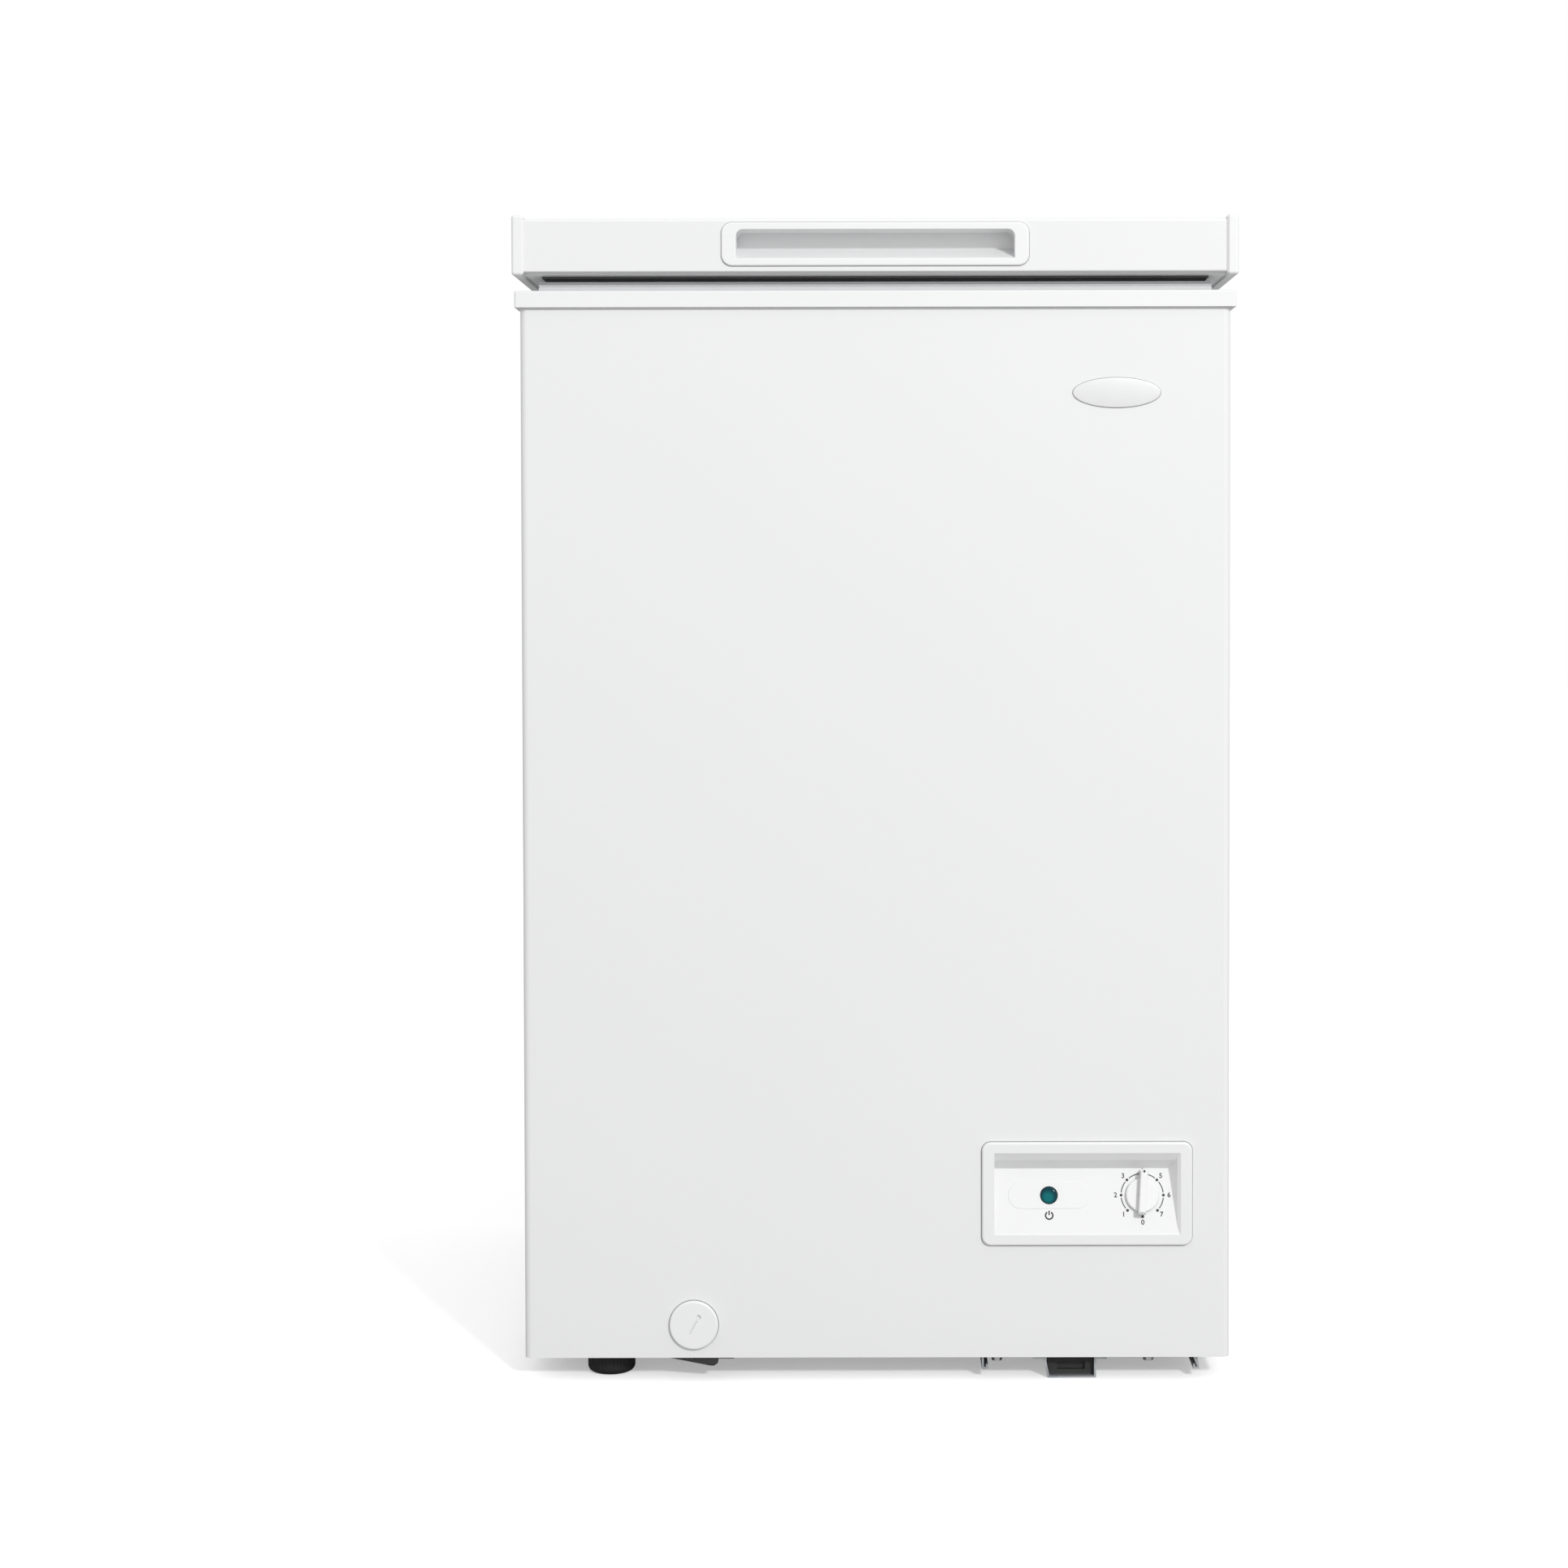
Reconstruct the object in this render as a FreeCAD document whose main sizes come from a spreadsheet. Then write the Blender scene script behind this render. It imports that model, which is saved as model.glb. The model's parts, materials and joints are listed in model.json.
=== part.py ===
"""A small upright-proportioned chest freezer, as a parametric FreeCAD document.

The frame: +Z is up, -Y is the front, X runs left to right as seen from the front. The origin is the middle
of the footprint, on the floor. All sizes are in millimetres and live in the spreadsheet "Sizes". Every
sub-part is an object of the document whose dimensions are expressions of those cells.
"""

import FreeCAD, Part
import math
import os
import re

import Sketcher

DOC = FreeCAD.newDocument("ChestFreezer")
SHEET = DOC.addObject("Spreadsheet::Sheet", "Sizes")

# ---------------------------------------------------------------- driving dimensions
SIZES = {
    # whole object
    "overall_width": 525,
    "overall_depth": 525,
    "overall_height": 850,
    # cabinet shell
    "cab_width": 516,
    "cab_front": -253,
    "cab_back": 237,
    "cab_base": 17,
    "cab_top": 793,
    "sheet": 0.8,
    "shell_corner": 5,
    "hem_front": 20,
    "hem_side": 24,
    "wall": 58,
    # tub and the step over the compressor bay
    "tub_floor": 77,
    "tub_corner": 16,
    "tub_floor_round": 6,
    "bay_left": 70,
    "bay_top": 232,
    # plastic collar round the top
    "collar_low": 784,
    "collar_high": 796,
    "collar_overhang": 3.5,
    "collar_skirt": 3.2,
    "collar_lip": 2,
    "collar_lip_low": 770,
    # lid
    "lid_low": 809,
    "lid_high": 847.5,
    "lid_front": -260.5,
    "lid_half": 257,
    "lid_edge_round": 2.5,
    "lid_hem": 14,
    "cap_low": 806.5,
    "cap_lap": 3,
    "cap_proud": 2,
    "cap_wall": 2.2,
    "liner_plate_low": 807.6,
    "plug_inset": 18,
    "plug_low": 784,
    "plug_skin": 1.2,
    # handle let into the lid's front
    "handle_half": 111.2,
    "handle_low": 813,
    "handle_high": 844.5,
    "handle_proud": 1.8,
    "handle_corner": 8,
    "pocket_half": 100.6,
    "pocket_low": 818.4,
    "pocket_high": 839.1,
    "pocket_back": -239,
    "pocket_skin": 1.6,
    # gasket
    "bulb_front": -244,
    "bulb_back": 224.5,
    "bulb_half": 245,
    "bulb_width": 14,
    "bulb_high": 803,
    # lid hinges
    "hinge_x": 170,
    "pin_y": 251,
    "pin_z": 798,
    "pin_radius": 3,
    "cam_radius": 9,
    "cam_throw": 3.6,
    "lid_travel": 80,
    "channel_half": 17,
    "channel_metal": 2,
    "channel_low": 692,
    "plunger_low": 766,
    # control panel in the front of the bay
    "bezel_left": 76.8,
    "bezel_right": 230.5,
    "bezel_low": 99.8,
    "bezel_high": 175.5,
    "bezel_proud": 3,
    "bezel_corner": 6.5,
    "recess_left": 85.8,
    "recess_right": 222.1,
    "recess_low": 107.6,
    "recess_high": 167.8,
    "recess_depth": 15,
    "knob_x": 194.5,
    "knob_z": 135.2,
    "lamp_x": 126.1,
    # drain
    "drain_x": -134.1,
    "drain_z": 41.4,
    "drain_y": -165,
    "drain_cap_radius": 17.9,
    "pipe_outer": 9,
    "pipe_inner": 7,
    # badge on the front
    "badge_x": 175.1,
    "badge_z": 721.9,
    "badge_half_width": 31.9,
    "badge_half_height": 10.9,
    # things the freezer stands on
    "foot_x": -197.2,
    "foot_front": -223,
    "foot_rear": 205,
    "foot_radius": 17.5,
    "foot_high": 15.5,
    "plate_left": 76.9,
    "plate_right": 236.6,
    "plate_metal": 1.5,
    "support_left": 124.6,
    "support_right": 160.9,
    # compressor
    "motor_x": 153,
    "motor_y": 120,
    "motor_low": 34,
    "motor_radius": 58,
    "motor_tall": 150,
    # wire basket
    "basket_left": -190,
    "basket_width": 190,
    "basket_front": -182,
    "basket_back": 166,
    "basket_low": 590,
    "basket_high": 774,
    "basket_bar": 3,
}

ALIAS = re.compile(r"\b(" + "|".join(SIZES) + r")\b")


def fill_sheet():
    for row, (alias, value) in enumerate(SIZES.items(), start=1):
        SHEET.set(f"A{row}", alias)
        SHEET.set(f"B{row}", str(value))
        SHEET.setAlias(f"B{row}", alias)
    DOC.recompute()


# ---------------------------------------------------------------- helpers
def expr(text):
    """An expression on the sheet's aliases, as FreeCAD wants it."""
    return ALIAS.sub(r"Sizes.\1", str(text))


def num(text):
    """What an expression is worth now, for shapes that Part's own functions make."""
    return float(SHEET.evalExpression(expr(text)))


def bind(obj, prop, text):
    obj.setExpression(prop, expr(text))


NODES = {}
AXES = {"x": (0, 1, 0, 90), "y": (1, 0, 0, -90), "z": (0, 0, 1, 0)}
DIRECTIONS = {"up": (0, 0, 1), "down": (0, 0, -1), "front": (0, -1, 0), "back": (0, 1, 0)}
# plane: role in the body's origin, sign that turns a coordinate along the plane's normal into an offset
PLANES = {"XY": ("XY_Plane", 1), "XZ": ("XZ_Plane", -1), "YZ": ("YZ_Plane", 1)}


class Piece:
    """One PartDesign body. Each call adds a feature; spans and points are expressions of the sheet."""

    def __init__(self, label, node=True):
        self.body = DOC.addObject("PartDesign::Body", label)
        self.body.Label = label
        if node:
            NODES[label] = self.body

    def origin(self, role):
        return next(f for f in self.body.Origin.OriginFeatures if f.Role == role)

    def at(self, x=0, y=0, z=0, facing="up"):
        """Places the body, with its own Z axis turned to face a direction."""
        turned = FreeCAD.Rotation(FreeCAD.Vector(0, 0, 1), FreeCAD.Vector(*DIRECTIONS[facing]))
        self.body.Placement = FreeCAD.Placement(FreeCAD.Vector(), turned)
        for axis, text in zip("xyz", (x, y, z)):
            bind(self.body, f"Placement.Base.{axis}", text)
        return self

    def block(self, x, y, z, cut=False):
        kind = "PartDesign::SubtractiveBox" if cut else "PartDesign::AdditiveBox"
        made = self.body.newObject(kind, "block")
        for size, axis, (low, high) in zip(("Length", "Width", "Height"), "xyz", (x, y, z)):
            bind(made, size, f"({high}) - ({low})")
            bind(made, f"Placement.Base.{axis}", low)
        return made

    def rod(self, axis, centre, radius, span, cut=False):
        """A cylinder along an axis. centre gives the two other coordinates in x, y, z order."""
        kind = "PartDesign::SubtractiveCylinder" if cut else "PartDesign::AdditiveCylinder"
        made = self.body.newObject(kind, "rod")
        ax, ay, az, angle = AXES[axis]
        made.Placement.Rotation = FreeCAD.Rotation(FreeCAD.Vector(ax, ay, az), angle)
        low, high = span
        bind(made, "Radius", radius)
        bind(made, "Height", f"({high}) - ({low})")
        others = iter(centre)
        for name in "xyz":
            bind(made, f"Placement.Base.{name}", low if name == axis else next(others))
        return made

    def sketch(self, plane, points, offset="0"):
        """A closed polygon, each corner held by two dimensions that follow the sheet."""
        role, _ = PLANES[plane]
        made = self.body.newObject("Sketcher::SketchObject", "outline")
        made.AttachmentSupport = [(self.origin(role), "")]
        made.MapMode = "FlatFace"
        bind(made, "AttachmentOffset.Base.z", offset)
        corners = [FreeCAD.Vector(num(a), num(b), 0) for a, b in points]
        count = len(corners)
        for i in range(count):
            made.addGeometry(Part.LineSegment(corners[i], corners[(i + 1) % count]), False)
        for i in range(count):
            made.addConstraint(Sketcher.Constraint("Coincident", i, 2, (i + 1) % count, 1))
        for i, (a, b) in enumerate(points):
            for kind, text, value in (("DistanceX", a, corners[i].x), ("DistanceY", b, corners[i].y)):
                index = made.addConstraint(Sketcher.Constraint(kind, -1, 1, i, 1, value))
                bind(made, f"Constraints[{index}]", text)
        return made

    def prism(self, plane, points, span, cut=False):
        """A polygon in a plane, pushed through a span along that plane's normal axis."""
        _, sign = PLANES[plane]
        low, high = span
        start = low if sign > 0 else f"-({high})"
        outline = self.sketch(plane, points, start)
        made = self.body.newObject("PartDesign::Pocket" if cut else "PartDesign::Pad", "prism")
        made.Profile = outline
        made.Reversed = cut
        bind(made, "Length", f"({high}) - ({low})")
        return made

    def turned(self, points):
        """A polygon of (radius, z) corners turned about the body's own Z axis."""
        outline = self.sketch("XZ", points)
        made = self.body.newObject("PartDesign::Revolution", "turned")
        made.Profile = outline
        made.ReferenceAxis = (outline, ["V_Axis"])
        return made

    def edges(self, pick):
        DOC.recompute()
        tip = self.body.Tip
        found = [f"Edge{i}" for i, e in enumerate(tip.Shape.Edges, start=1) if pick(e)]
        if not found:
            raise ValueError(f"{self.body.Label}: no edge there to round")
        return tip, found

    def round(self, radius, pick):
        base = self.edges(pick)
        made = self.body.newObject("PartDesign::Fillet", "rounding")
        made.Base = base
        bind(made, "Radius", radius)
        return made

    def bevel(self, size, pick):
        base = self.edges(pick)
        made = self.body.newObject("PartDesign::Chamfer", "bevel")
        made.Base = base
        bind(made, "Size", size)
        return made

    def row(self, features, axis, length, count):
        """Repeats features in a line."""
        made = self.body.newObject("PartDesign::LinearPattern", "row")
        made.Originals = features
        made.Direction = (self.origin(f"{axis}_Axis"), [""])
        bind(made, "Length", length)
        made.Occurrences = count
        self.body.Tip = made
        return made

    def ring_of(self, features, count):
        """Repeats features evenly about the body's own Z axis."""
        made = self.body.newObject("PartDesign::PolarPattern", "ring_of")
        made.Originals = features
        made.Axis = (self.origin("Z_Axis"), [""])
        made.Angle = 360
        made.Occurrences = count
        self.body.Tip = made
        return made


NEAR = 0.02


def close(value, text):
    """Whether a coordinate is at an expression's value, or at any of a list's; None is anywhere."""
    if text is None:
        return True
    options = text if isinstance(text, list) else [text]
    return any(abs(value - num(option)) < NEAR for option in options)


def along(axis, x=None, y=None, z=None):
    """Picks straight edges parallel to an axis whose middle has the given coordinates."""

    def pick(edge):
        if len(edge.Vertexes) != 2 or edge.Curve.TypeId != "Part::GeomLine":
            return False
        a, b = (v.Point for v in edge.Vertexes)
        run = b - a
        across = {"x": (run.y, run.z), "y": (run.x, run.z), "z": (run.x, run.y)}[axis]
        if max(abs(c) for c in across) > NEAR:
            return False
        mid = (a + b) * 0.5
        return close(mid.x, x) and close(mid.y, y) and close(mid.z, z)

    return pick


def round_edge(radius, z=None):
    """Picks full circles of a radius, at a height in the body's own frame."""

    def pick(edge):
        if edge.Curve.TypeId != "Part::GeomCircle":
            return False
        return close(edge.Curve.Radius, radius) and close(edge.Curve.Center.z, z)

    return pick


def level(z):
    """Picks every edge that lies flat at a height."""

    def pick(edge):
        box = edge.BoundBox
        return close(box.ZMin, z) and close(box.ZMax, z)

    return pick


def flat_at(y):
    """Picks every edge that lies in an upright plane facing the front."""

    def pick(edge):
        box = edge.BoundBox
        return close(box.YMin, y) and close(box.YMax, y)

    return pick


def group(label, pieces):
    """Several separate solids as one node."""
    made = DOC.addObject("Part::Compound", label)
    made.Label = label
    made.Links = [p.body if isinstance(p, Piece) else p for p in pieces]
    NODES[label] = made
    return made


def cut(label, base, tools, node=True):
    """Takes away each tool in turn from a base."""
    for tool in tools:
        made = DOC.addObject("Part::Cut", f"{label}_less")
        made.Base = base.body if isinstance(base, Piece) else base
        made.Tool = tool.body if isinstance(tool, Piece) else tool
        base = made
    base.Label = label
    if node:
        NODES[label] = base
    return base


def screw(name, head, tall, shank, length):
    """A pan-head screw about its own Z axis: head above zero, shank below, with a cross recess."""
    made = Piece(name, node=False)
    made.rod("z", ("0", "0"), head, ("0", tall))
    made.round(f"({tall}) * 0.6", round_edge(head, tall))
    made.rod("z", ("0", "0"), shank, (f"-({length})", "0"))
    reach = f"({head}) * 0.55"
    slot = f"({head}) * 0.13"
    made.block((f"-{reach}", reach), (f"-{slot}", slot), (f"({tall}) * 0.45", f"({tall}) + 1"), cut=True)
    made.block((f"-{slot}", slot), (f"-{reach}", reach), (f"({tall}) * 0.45", f"({tall}) + 1"), cut=True)
    return made


def path_wire(points, bend):
    """Straight runs joined by tangent arcs of one bend radius."""
    corners = [FreeCAD.Vector(*(num(c) for c in p)) for p in points]
    parts = []
    start = corners[0]
    for before, corner, after in zip(corners, corners[1:], corners[2:]):
        into = (corner - before).normalize()
        out = (after - corner).normalize()
        half = into.getAngle(out) / 2
        back = bend * math.tan(half)
        first = corner - into * back
        last = corner + out * back
        middle = corner + (out - into).normalize() * (bend / math.cos(half) - bend)
        parts.append(Part.LineSegment(start, first).toShape())
        parts.append(Part.Arc(first, middle, last).toShape())
        start = last
    parts.append(Part.LineSegment(start, corners[-1]).toShape())
    return Part.Wire(parts), (corners[1] - corners[0]).normalize(), corners[0]


def tube_shape(points, radius, bend, bore=0):
    """A round rod, or a tube if it has a bore, along a path."""
    wire, direction, start = path_wire(points, bend)

    def swept(size):
        ring = Part.Wire([Part.Circle(start, direction, size).toShape()])
        return wire.makePipeShell([ring], True, False)

    solid = swept(radius)
    return solid.cut(swept(bore)) if bore else solid


def solid_node(label, shape, node=True):
    made = DOC.addObject("Part::Feature", label)
    made.Shape = shape
    made.Label = label
    if node:
        NODES[label] = made
    return made


def tub(piece, grow, top, cut):
    """The tub's two-level space, grown outwards by some thickness, with rounded corners."""
    left, right = f"-(cab_width/2 - wall + {grow})", f"cab_width/2 - wall + {grow}"
    step = f"bay_left - wall + {grow}"
    front, back = f"cab_front + wall - {grow}", f"cab_back - wall + {grow}"
    floor, shelf = f"tub_floor - {grow}", f"bay_top + wall - {grow}"
    piece.block((left, right), (front, back), (shelf, top), cut)
    piece.block((left, step), (front, back), (floor, shelf), cut)
    piece.round(f"tub_corner + {grow}", along("z", [left, right, step], [front, back]))
    piece.round(f"tub_floor_round + {grow}", lambda e: level(floor)(e) and inside_tub(e))


def inside_tub(edge):
    box = edge.BoundBox
    return (
        box.XMin > num("-(cab_width/2 - wall + 3)")
        and box.XMax < num("bay_left - wall + 3")
        and box.YMin > num("cab_front + wall - 3")
        and box.YMax < num("cab_back - wall + 3")
    )


# ---------------------------------------------------------------- cabinet shell
PLATE_BOLTS_X = ("plate_left + 11.3", "plate_right - 36.9")
PLATE_BOLT_FRONT = "cab_front + 12"
PLATE_BOLT_REAR = "cab_back - 12"

# holes in the bay's roof for the suction line, discharge line, capillary and sensor tube
BAY_ROOF_HOLES = (
    ("228", "150", "6"),
    ("90", "205", "4.5"),
    ("232", "60", "3"),
    ("220", "cab_front + 28", "3"),
)


def cabinet_wrapper():
    """One painted sheet: the front and both sides, hemmed inwards at the bottom."""
    shell = Piece("cabinet_wrapper")
    half = "cab_width/2"
    shell.block((f"-{half}", half), ("cab_front", "cab_back"), ("cab_base", "cab_top"))
    shell.block(
        (f"-({half} - sheet)", f"{half} - sheet"),
        ("cab_front + sheet", "cab_back"),
        ("cab_base + sheet", "cab_top"),
        cut=True,
    )
    shell.round(
        "shell_corner - sheet",
        along("z", [f"-({half} - sheet)", f"{half} - sheet"], "cab_front + sheet"),
    )
    shell.round("shell_corner", along("z", [f"-{half}", half], "cab_front"))
    shell.block(
        (f"-({half} - hem_side)", f"{half} - hem_side"),
        ("cab_front + hem_front", "cab_back"),
        ("cab_base", "cab_base + sheet"),
        cut=True,
    )
    # openings: the control panel, the drain and two holes for the base plate's front bolts
    shell.block(
        ("bezel_left + 3.2", "bezel_right - 3.2"),
        ("cab_front", "cab_front + sheet"),
        ("bezel_low + 3.2", "bezel_high - 3.2"),
        cut=True,
    )
    shell.rod("y", ("drain_x", "drain_z"), "16.2", ("cab_front", "cab_front + sheet"), cut=True)
    for x in PLATE_BOLTS_X:
        shell.rod("z", (x, PLATE_BOLT_FRONT), "2.5", ("cab_base", "cab_base + sheet"), cut=True)
    return shell


def back_panel():
    """The flat back, with a foot flange, three pressed stiffening beads and the compressor bay's opening."""
    panel = Piece("back_panel")
    half = "cab_width/2 - sheet"
    panel.block((f"-({half})", half), ("cab_back - sheet", "cab_back"), ("cab_base + sheet", "cab_top"))
    foot_half = "cab_width/2 - hem_side"
    flange = ("cab_back - 20", "cab_back")
    panel.block((f"-({foot_half})", foot_half), flange, ("cab_base", "cab_base + sheet"))
    panel.block(
        ("bay_left + 20", "cab_width/2 - 17"),
        ("cab_back - sheet", "cab_back"),
        ("cab_base + 12", "bay_top"),
        cut=True,
    )
    for low in ("330", "470", "610"):
        panel.block(("-190", "190"), ("cab_back", "cab_back + 1.4"), (low, f"{low} + 16"))
        panel.bevel("1.2", along("x", None, "cab_back + 1.4", [low, f"{low} + 16"]))
    for x in PLATE_BOLTS_X:
        panel.rod("z", (x, PLATE_BOLT_REAR), "2.5", ("cab_base", "cab_base + sheet"), cut=True)
    return panel


def bottom_panel():
    """One galvanised sheet, folded up and over the compressor bay."""
    panel = Piece("bottom_panel")
    left, right = "-(cab_width/2 - sheet)", "cab_width/2 - sheet"
    low = "cab_base + sheet"
    panel.prism(
        "XZ",
        [
            (left, low),
            ("bay_left + sheet", low),
            ("bay_left + sheet", "bay_top"),
            (right, "bay_top"),
            (right, "bay_top + sheet"),
            ("bay_left", "bay_top + sheet"),
            ("bay_left", f"{low} + sheet"),
            (left, f"{low} + sheet"),
        ],
        ("cab_front + sheet + 0.2", "cab_back - sheet"),
    )
    panel.round("shell_corner - sheet", along("z", [left, right], "cab_front + sheet + 0.2"))
    for y in ("foot_front", "foot_rear"):
        panel.rod("z", ("foot_x", y), "4.6", (low, f"{low} + sheet"), cut=True)
    panel.round("3 - sheet", along("y", "bay_left + sheet", None, "bay_top"))
    panel.round("3", along("y", "bay_left", None, "bay_top + sheet"))
    for x, y, radius in BAY_ROOF_HOLES:
        panel.rod("z", (x, y), radius, ("bay_top", "bay_top + sheet"), cut=True)
    return panel


# the drain pipe's centre line, from the tub's floor down and forward to the socket
DRAIN_BEND = 20
DRAIN_ROUTE = (
    ("drain_x", "drain_y", "tub_floor"),
    ("drain_x", "drain_y", "drain_z"),
    ("drain_x", "cab_front + 12.8", "drain_z"),
)


def cabinet_insulation():
    """Foam between shell and tub, clear of the compressor bay, the feet's nuts and the drain."""
    foam = Piece("cabinet_insulation_block", node=False)
    half = "cab_width/2 - sheet"
    front, back = "cab_front + sheet", "cab_back - sheet"
    foam.block((f"-({half})", half), (front, back), ("cab_base + sheet * 2", "cab_top"))
    foam.round("shell_corner - sheet", along("z", [f"-({half})", half], front))
    foam.block(("bay_left", half), (front, back), ("cab_base + sheet * 2", "bay_top + sheet"), cut=True)
    foam.round("3", along("y", "bay_left", None, "bay_top + sheet"))
    for y in ("foot_front", "foot_rear"):
        foam.rod("z", ("foot_x", y), "14", ("cab_base + sheet * 2", "cab_base + 30"), cut=True)
    foam.rod("y", ("drain_x", "drain_z"), "20", (front, f"{front} + 12"), cut=True)
    tub(foam, "sheet", "cab_top", cut=True)
    pipe = tube_shape(DRAIN_ROUTE, num("pipe_outer"), DRAIN_BEND)
    cut("cabinet_insulation", foam, [solid_node("drain_pipe_envelope", pipe, node=False)])


def inner_liner():
    """The embossed aluminium tub, with the step over the compressor bay and the drain's hole."""
    outside = Piece("liner_outside", node=False)
    tub(outside, "sheet", "cab_top", cut=False)
    inside = Piece("liner_inside", node=False)
    tub(inside, "0", "cab_top", cut=False)
    hole = Piece("liner_drain_hole", node=False)
    hole.rod("z", ("drain_x", "drain_y"), "pipe_outer + 0.05", ("tub_floor - 2", "tub_floor + 1"))
    cut("inner_liner", outside, [inside, hole])


def top_collar():
    """The white plastic frame that caps the walls: a top plate, an outer skirt and a lip inside the tub."""
    collar = Piece("top_collar")
    half, front = "cab_width/2 + collar_overhang", "cab_front - collar_overhang"
    collar.block((f"-({half})", half), (front, "cab_back"), ("collar_low", "collar_high"))
    collar.round("1.6", along("z", [f"-({half})", half], front))
    # the room for the shell's top edge, the foam and the tub's edge, closed at the back by the back panel
    room_x, room_front = f"{half} - collar_skirt", f"{front} + collar_skirt"
    collar.block((f"-({room_x})", room_x), (room_front, "cab_back"), ("collar_low", "cab_top"), cut=True)
    collar.round("shell_corner", along("z", [f"-({room_x})", room_x], room_front))
    lip_x, lip_y = "cab_width/2 - wall", ["cab_front + wall", "cab_back - wall"]
    collar.block((f"-({lip_x})", lip_x), lip_y, ("collar_lip_low", "collar_high"))
    hole_x, hole_y = f"{lip_x} - collar_lip", [f"{lip_y[0]} + collar_lip", f"{lip_y[1]} - collar_lip"]
    collar.block((f"-({hole_x})", hole_x), hole_y, ("collar_lip_low", "collar_high"), cut=True)
    collar.round("tub_corner - collar_lip", along("z", [f"-({hole_x})", hole_x], hole_y))
    collar.round("tub_corner", along("z", [f"-({lip_x})", lip_x], lip_y))
    collar.round("1.2", lambda e: level("collar_high")(e) and not close(e.BoundBox.YMin, "cab_back"))


# ---------------------------------------------------------------- lid
def lid_outer_panel():
    """One painted sheet: top, front and back, hemmed inwards along the bottom."""
    panel = Piece("lid_outer_panel")
    ends = ("-lid_half", "lid_half")
    panel.block(ends, ("lid_front", "cab_back"), ("lid_low", "lid_high"))
    panel.round("lid_edge_round", along("x", None, ["lid_front", "cab_back"], "lid_high"))
    inside = ("lid_front + sheet", "cab_back - sheet")
    panel.block(ends, inside, ("lid_low + sheet", "lid_high - sheet"), cut=True)
    panel.round(
        "lid_edge_round - sheet",
        along("x", None, ["lid_front + sheet", "cab_back - sheet"], "lid_high - sheet"),
    )
    panel.block(ends, ("lid_front + lid_hem", "cab_back - lid_hem"), ("lid_low", "lid_low + sheet"), cut=True)
    panel.round("1", along("x", None, ["lid_front", "cab_back"], "lid_low"))
    panel.block(
        ("-(pocket_half + 3)", "pocket_half + 3"),
        ("lid_front", "lid_front + sheet"),
        ("pocket_low - 2.6", "pocket_high + 2.4"),
        cut=True,
    )
    for side in (-1, 1):
        for x, z in hinge_leaf_holes(side):
            panel.rod("y", (x, z), "1.9", ("cab_back - sheet", "cab_back"), cut=True)
    return panel


def lid_end_cap(side):
    """A hollow plastic moulding over one end of the lid, proud of the sheet all round."""
    name = "lid_end_cap_left" if side < 0 else "lid_end_cap_right"
    cap = Piece(name)

    def span(inner, outer):
        return (f"-({outer})", f"-({inner})") if side < 0 else (inner, outer)

    outer = "overall_width/2"
    front, back = "lid_front - cap_proud", "cab_back + cap_proud"
    cap.block(span("lid_half - cap_lap", outer), (front, back), ("cap_low", "overall_height"))
    out_x = f"{side} * ({outer})"
    cap.round("2", along("z", out_x, [front, back]))
    cap.round("2", along("y", out_x, None, ["cap_low", "overall_height"]))
    cap.block(
        span("lid_half - cap_lap", "lid_half"), ("lid_front", "cab_back"), ("lid_low", "lid_high"), cut=True
    )
    cap.block(
        span("lid_half", f"{outer} - cap_wall"),
        ("lid_front", "cab_back"),
        ("lid_low", "lid_high"),
        cut=True,
    )
    lap_x = f"{side} * (lid_half - cap_lap)"
    upright, along_top = along("z", lap_x, [front, back]), along("y", lap_x, None, "overall_height")
    cap.bevel("1.6", lambda e: upright(e) or along_top(e))
    return cap


def lid_insulation():
    """Foam in the lid and in the plug under it, cut away round the handle's pocket."""
    foam = Piece("lid_insulation")
    ends = ("-lid_half", "lid_half")
    inside = ["lid_front + sheet", "cab_back - sheet"]
    foam.block(ends, inside, ("lid_low + sheet", "lid_high - sheet"))
    foam.round("lid_edge_round", along("x", None, inside, "lid_high - sheet"))
    plug = plug_walls("plug_skin")
    foam.block(plug[0], plug[1], ("plug_low + plug_skin", "lid_low + sheet"))
    foam.round(
        "10 - plug_skin",
        along("z", list(plug[0]), list(plug[1])),
    )
    foam.block(
        ("-(pocket_half + 2.4)", "pocket_half + 2.4"),
        ("lid_front", "pocket_back + 3"),
        ("pocket_low - 2.4", "pocket_high + 4"),
        cut=True,
    )
    return foam


def plug_walls(inset):
    """The plug's footprint under the lid, inset all round."""
    x = f"cab_width/2 - wall - collar_lip - plug_inset - {inset}"
    return (f"-({x})", x), (
        f"cab_front + wall + collar_lip + plug_inset + {inset}",
        f"cab_back - wall - collar_lip - plug_inset - {inset}",
    )


def lid_inner_liner():
    """The thin white moulding under the lid: a flat border and a shallow plug with rounded corners."""
    liner = Piece("lid_inner_liner")
    half = "lid_half - cap_lap - 0.2"
    liner.block((f"-({half})", half), ("lid_front + 7.5", "cab_back - 7.5"), ("liner_plate_low", "lid_low"))
    x, y = plug_walls("0")
    liner.block(x, y, ("plug_low", "liner_plate_low"))
    inner_x, inner_y = plug_walls("plug_skin")
    liner.block(inner_x, inner_y, ("plug_low + plug_skin", "lid_low"), cut=True)
    liner.round("10 - plug_skin", along("z", list(inner_x), list(inner_y)))
    liner.round("10", along("z", list(x), list(y)))
    liner.round("2.5", level("plug_low"))
    return liner


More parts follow.
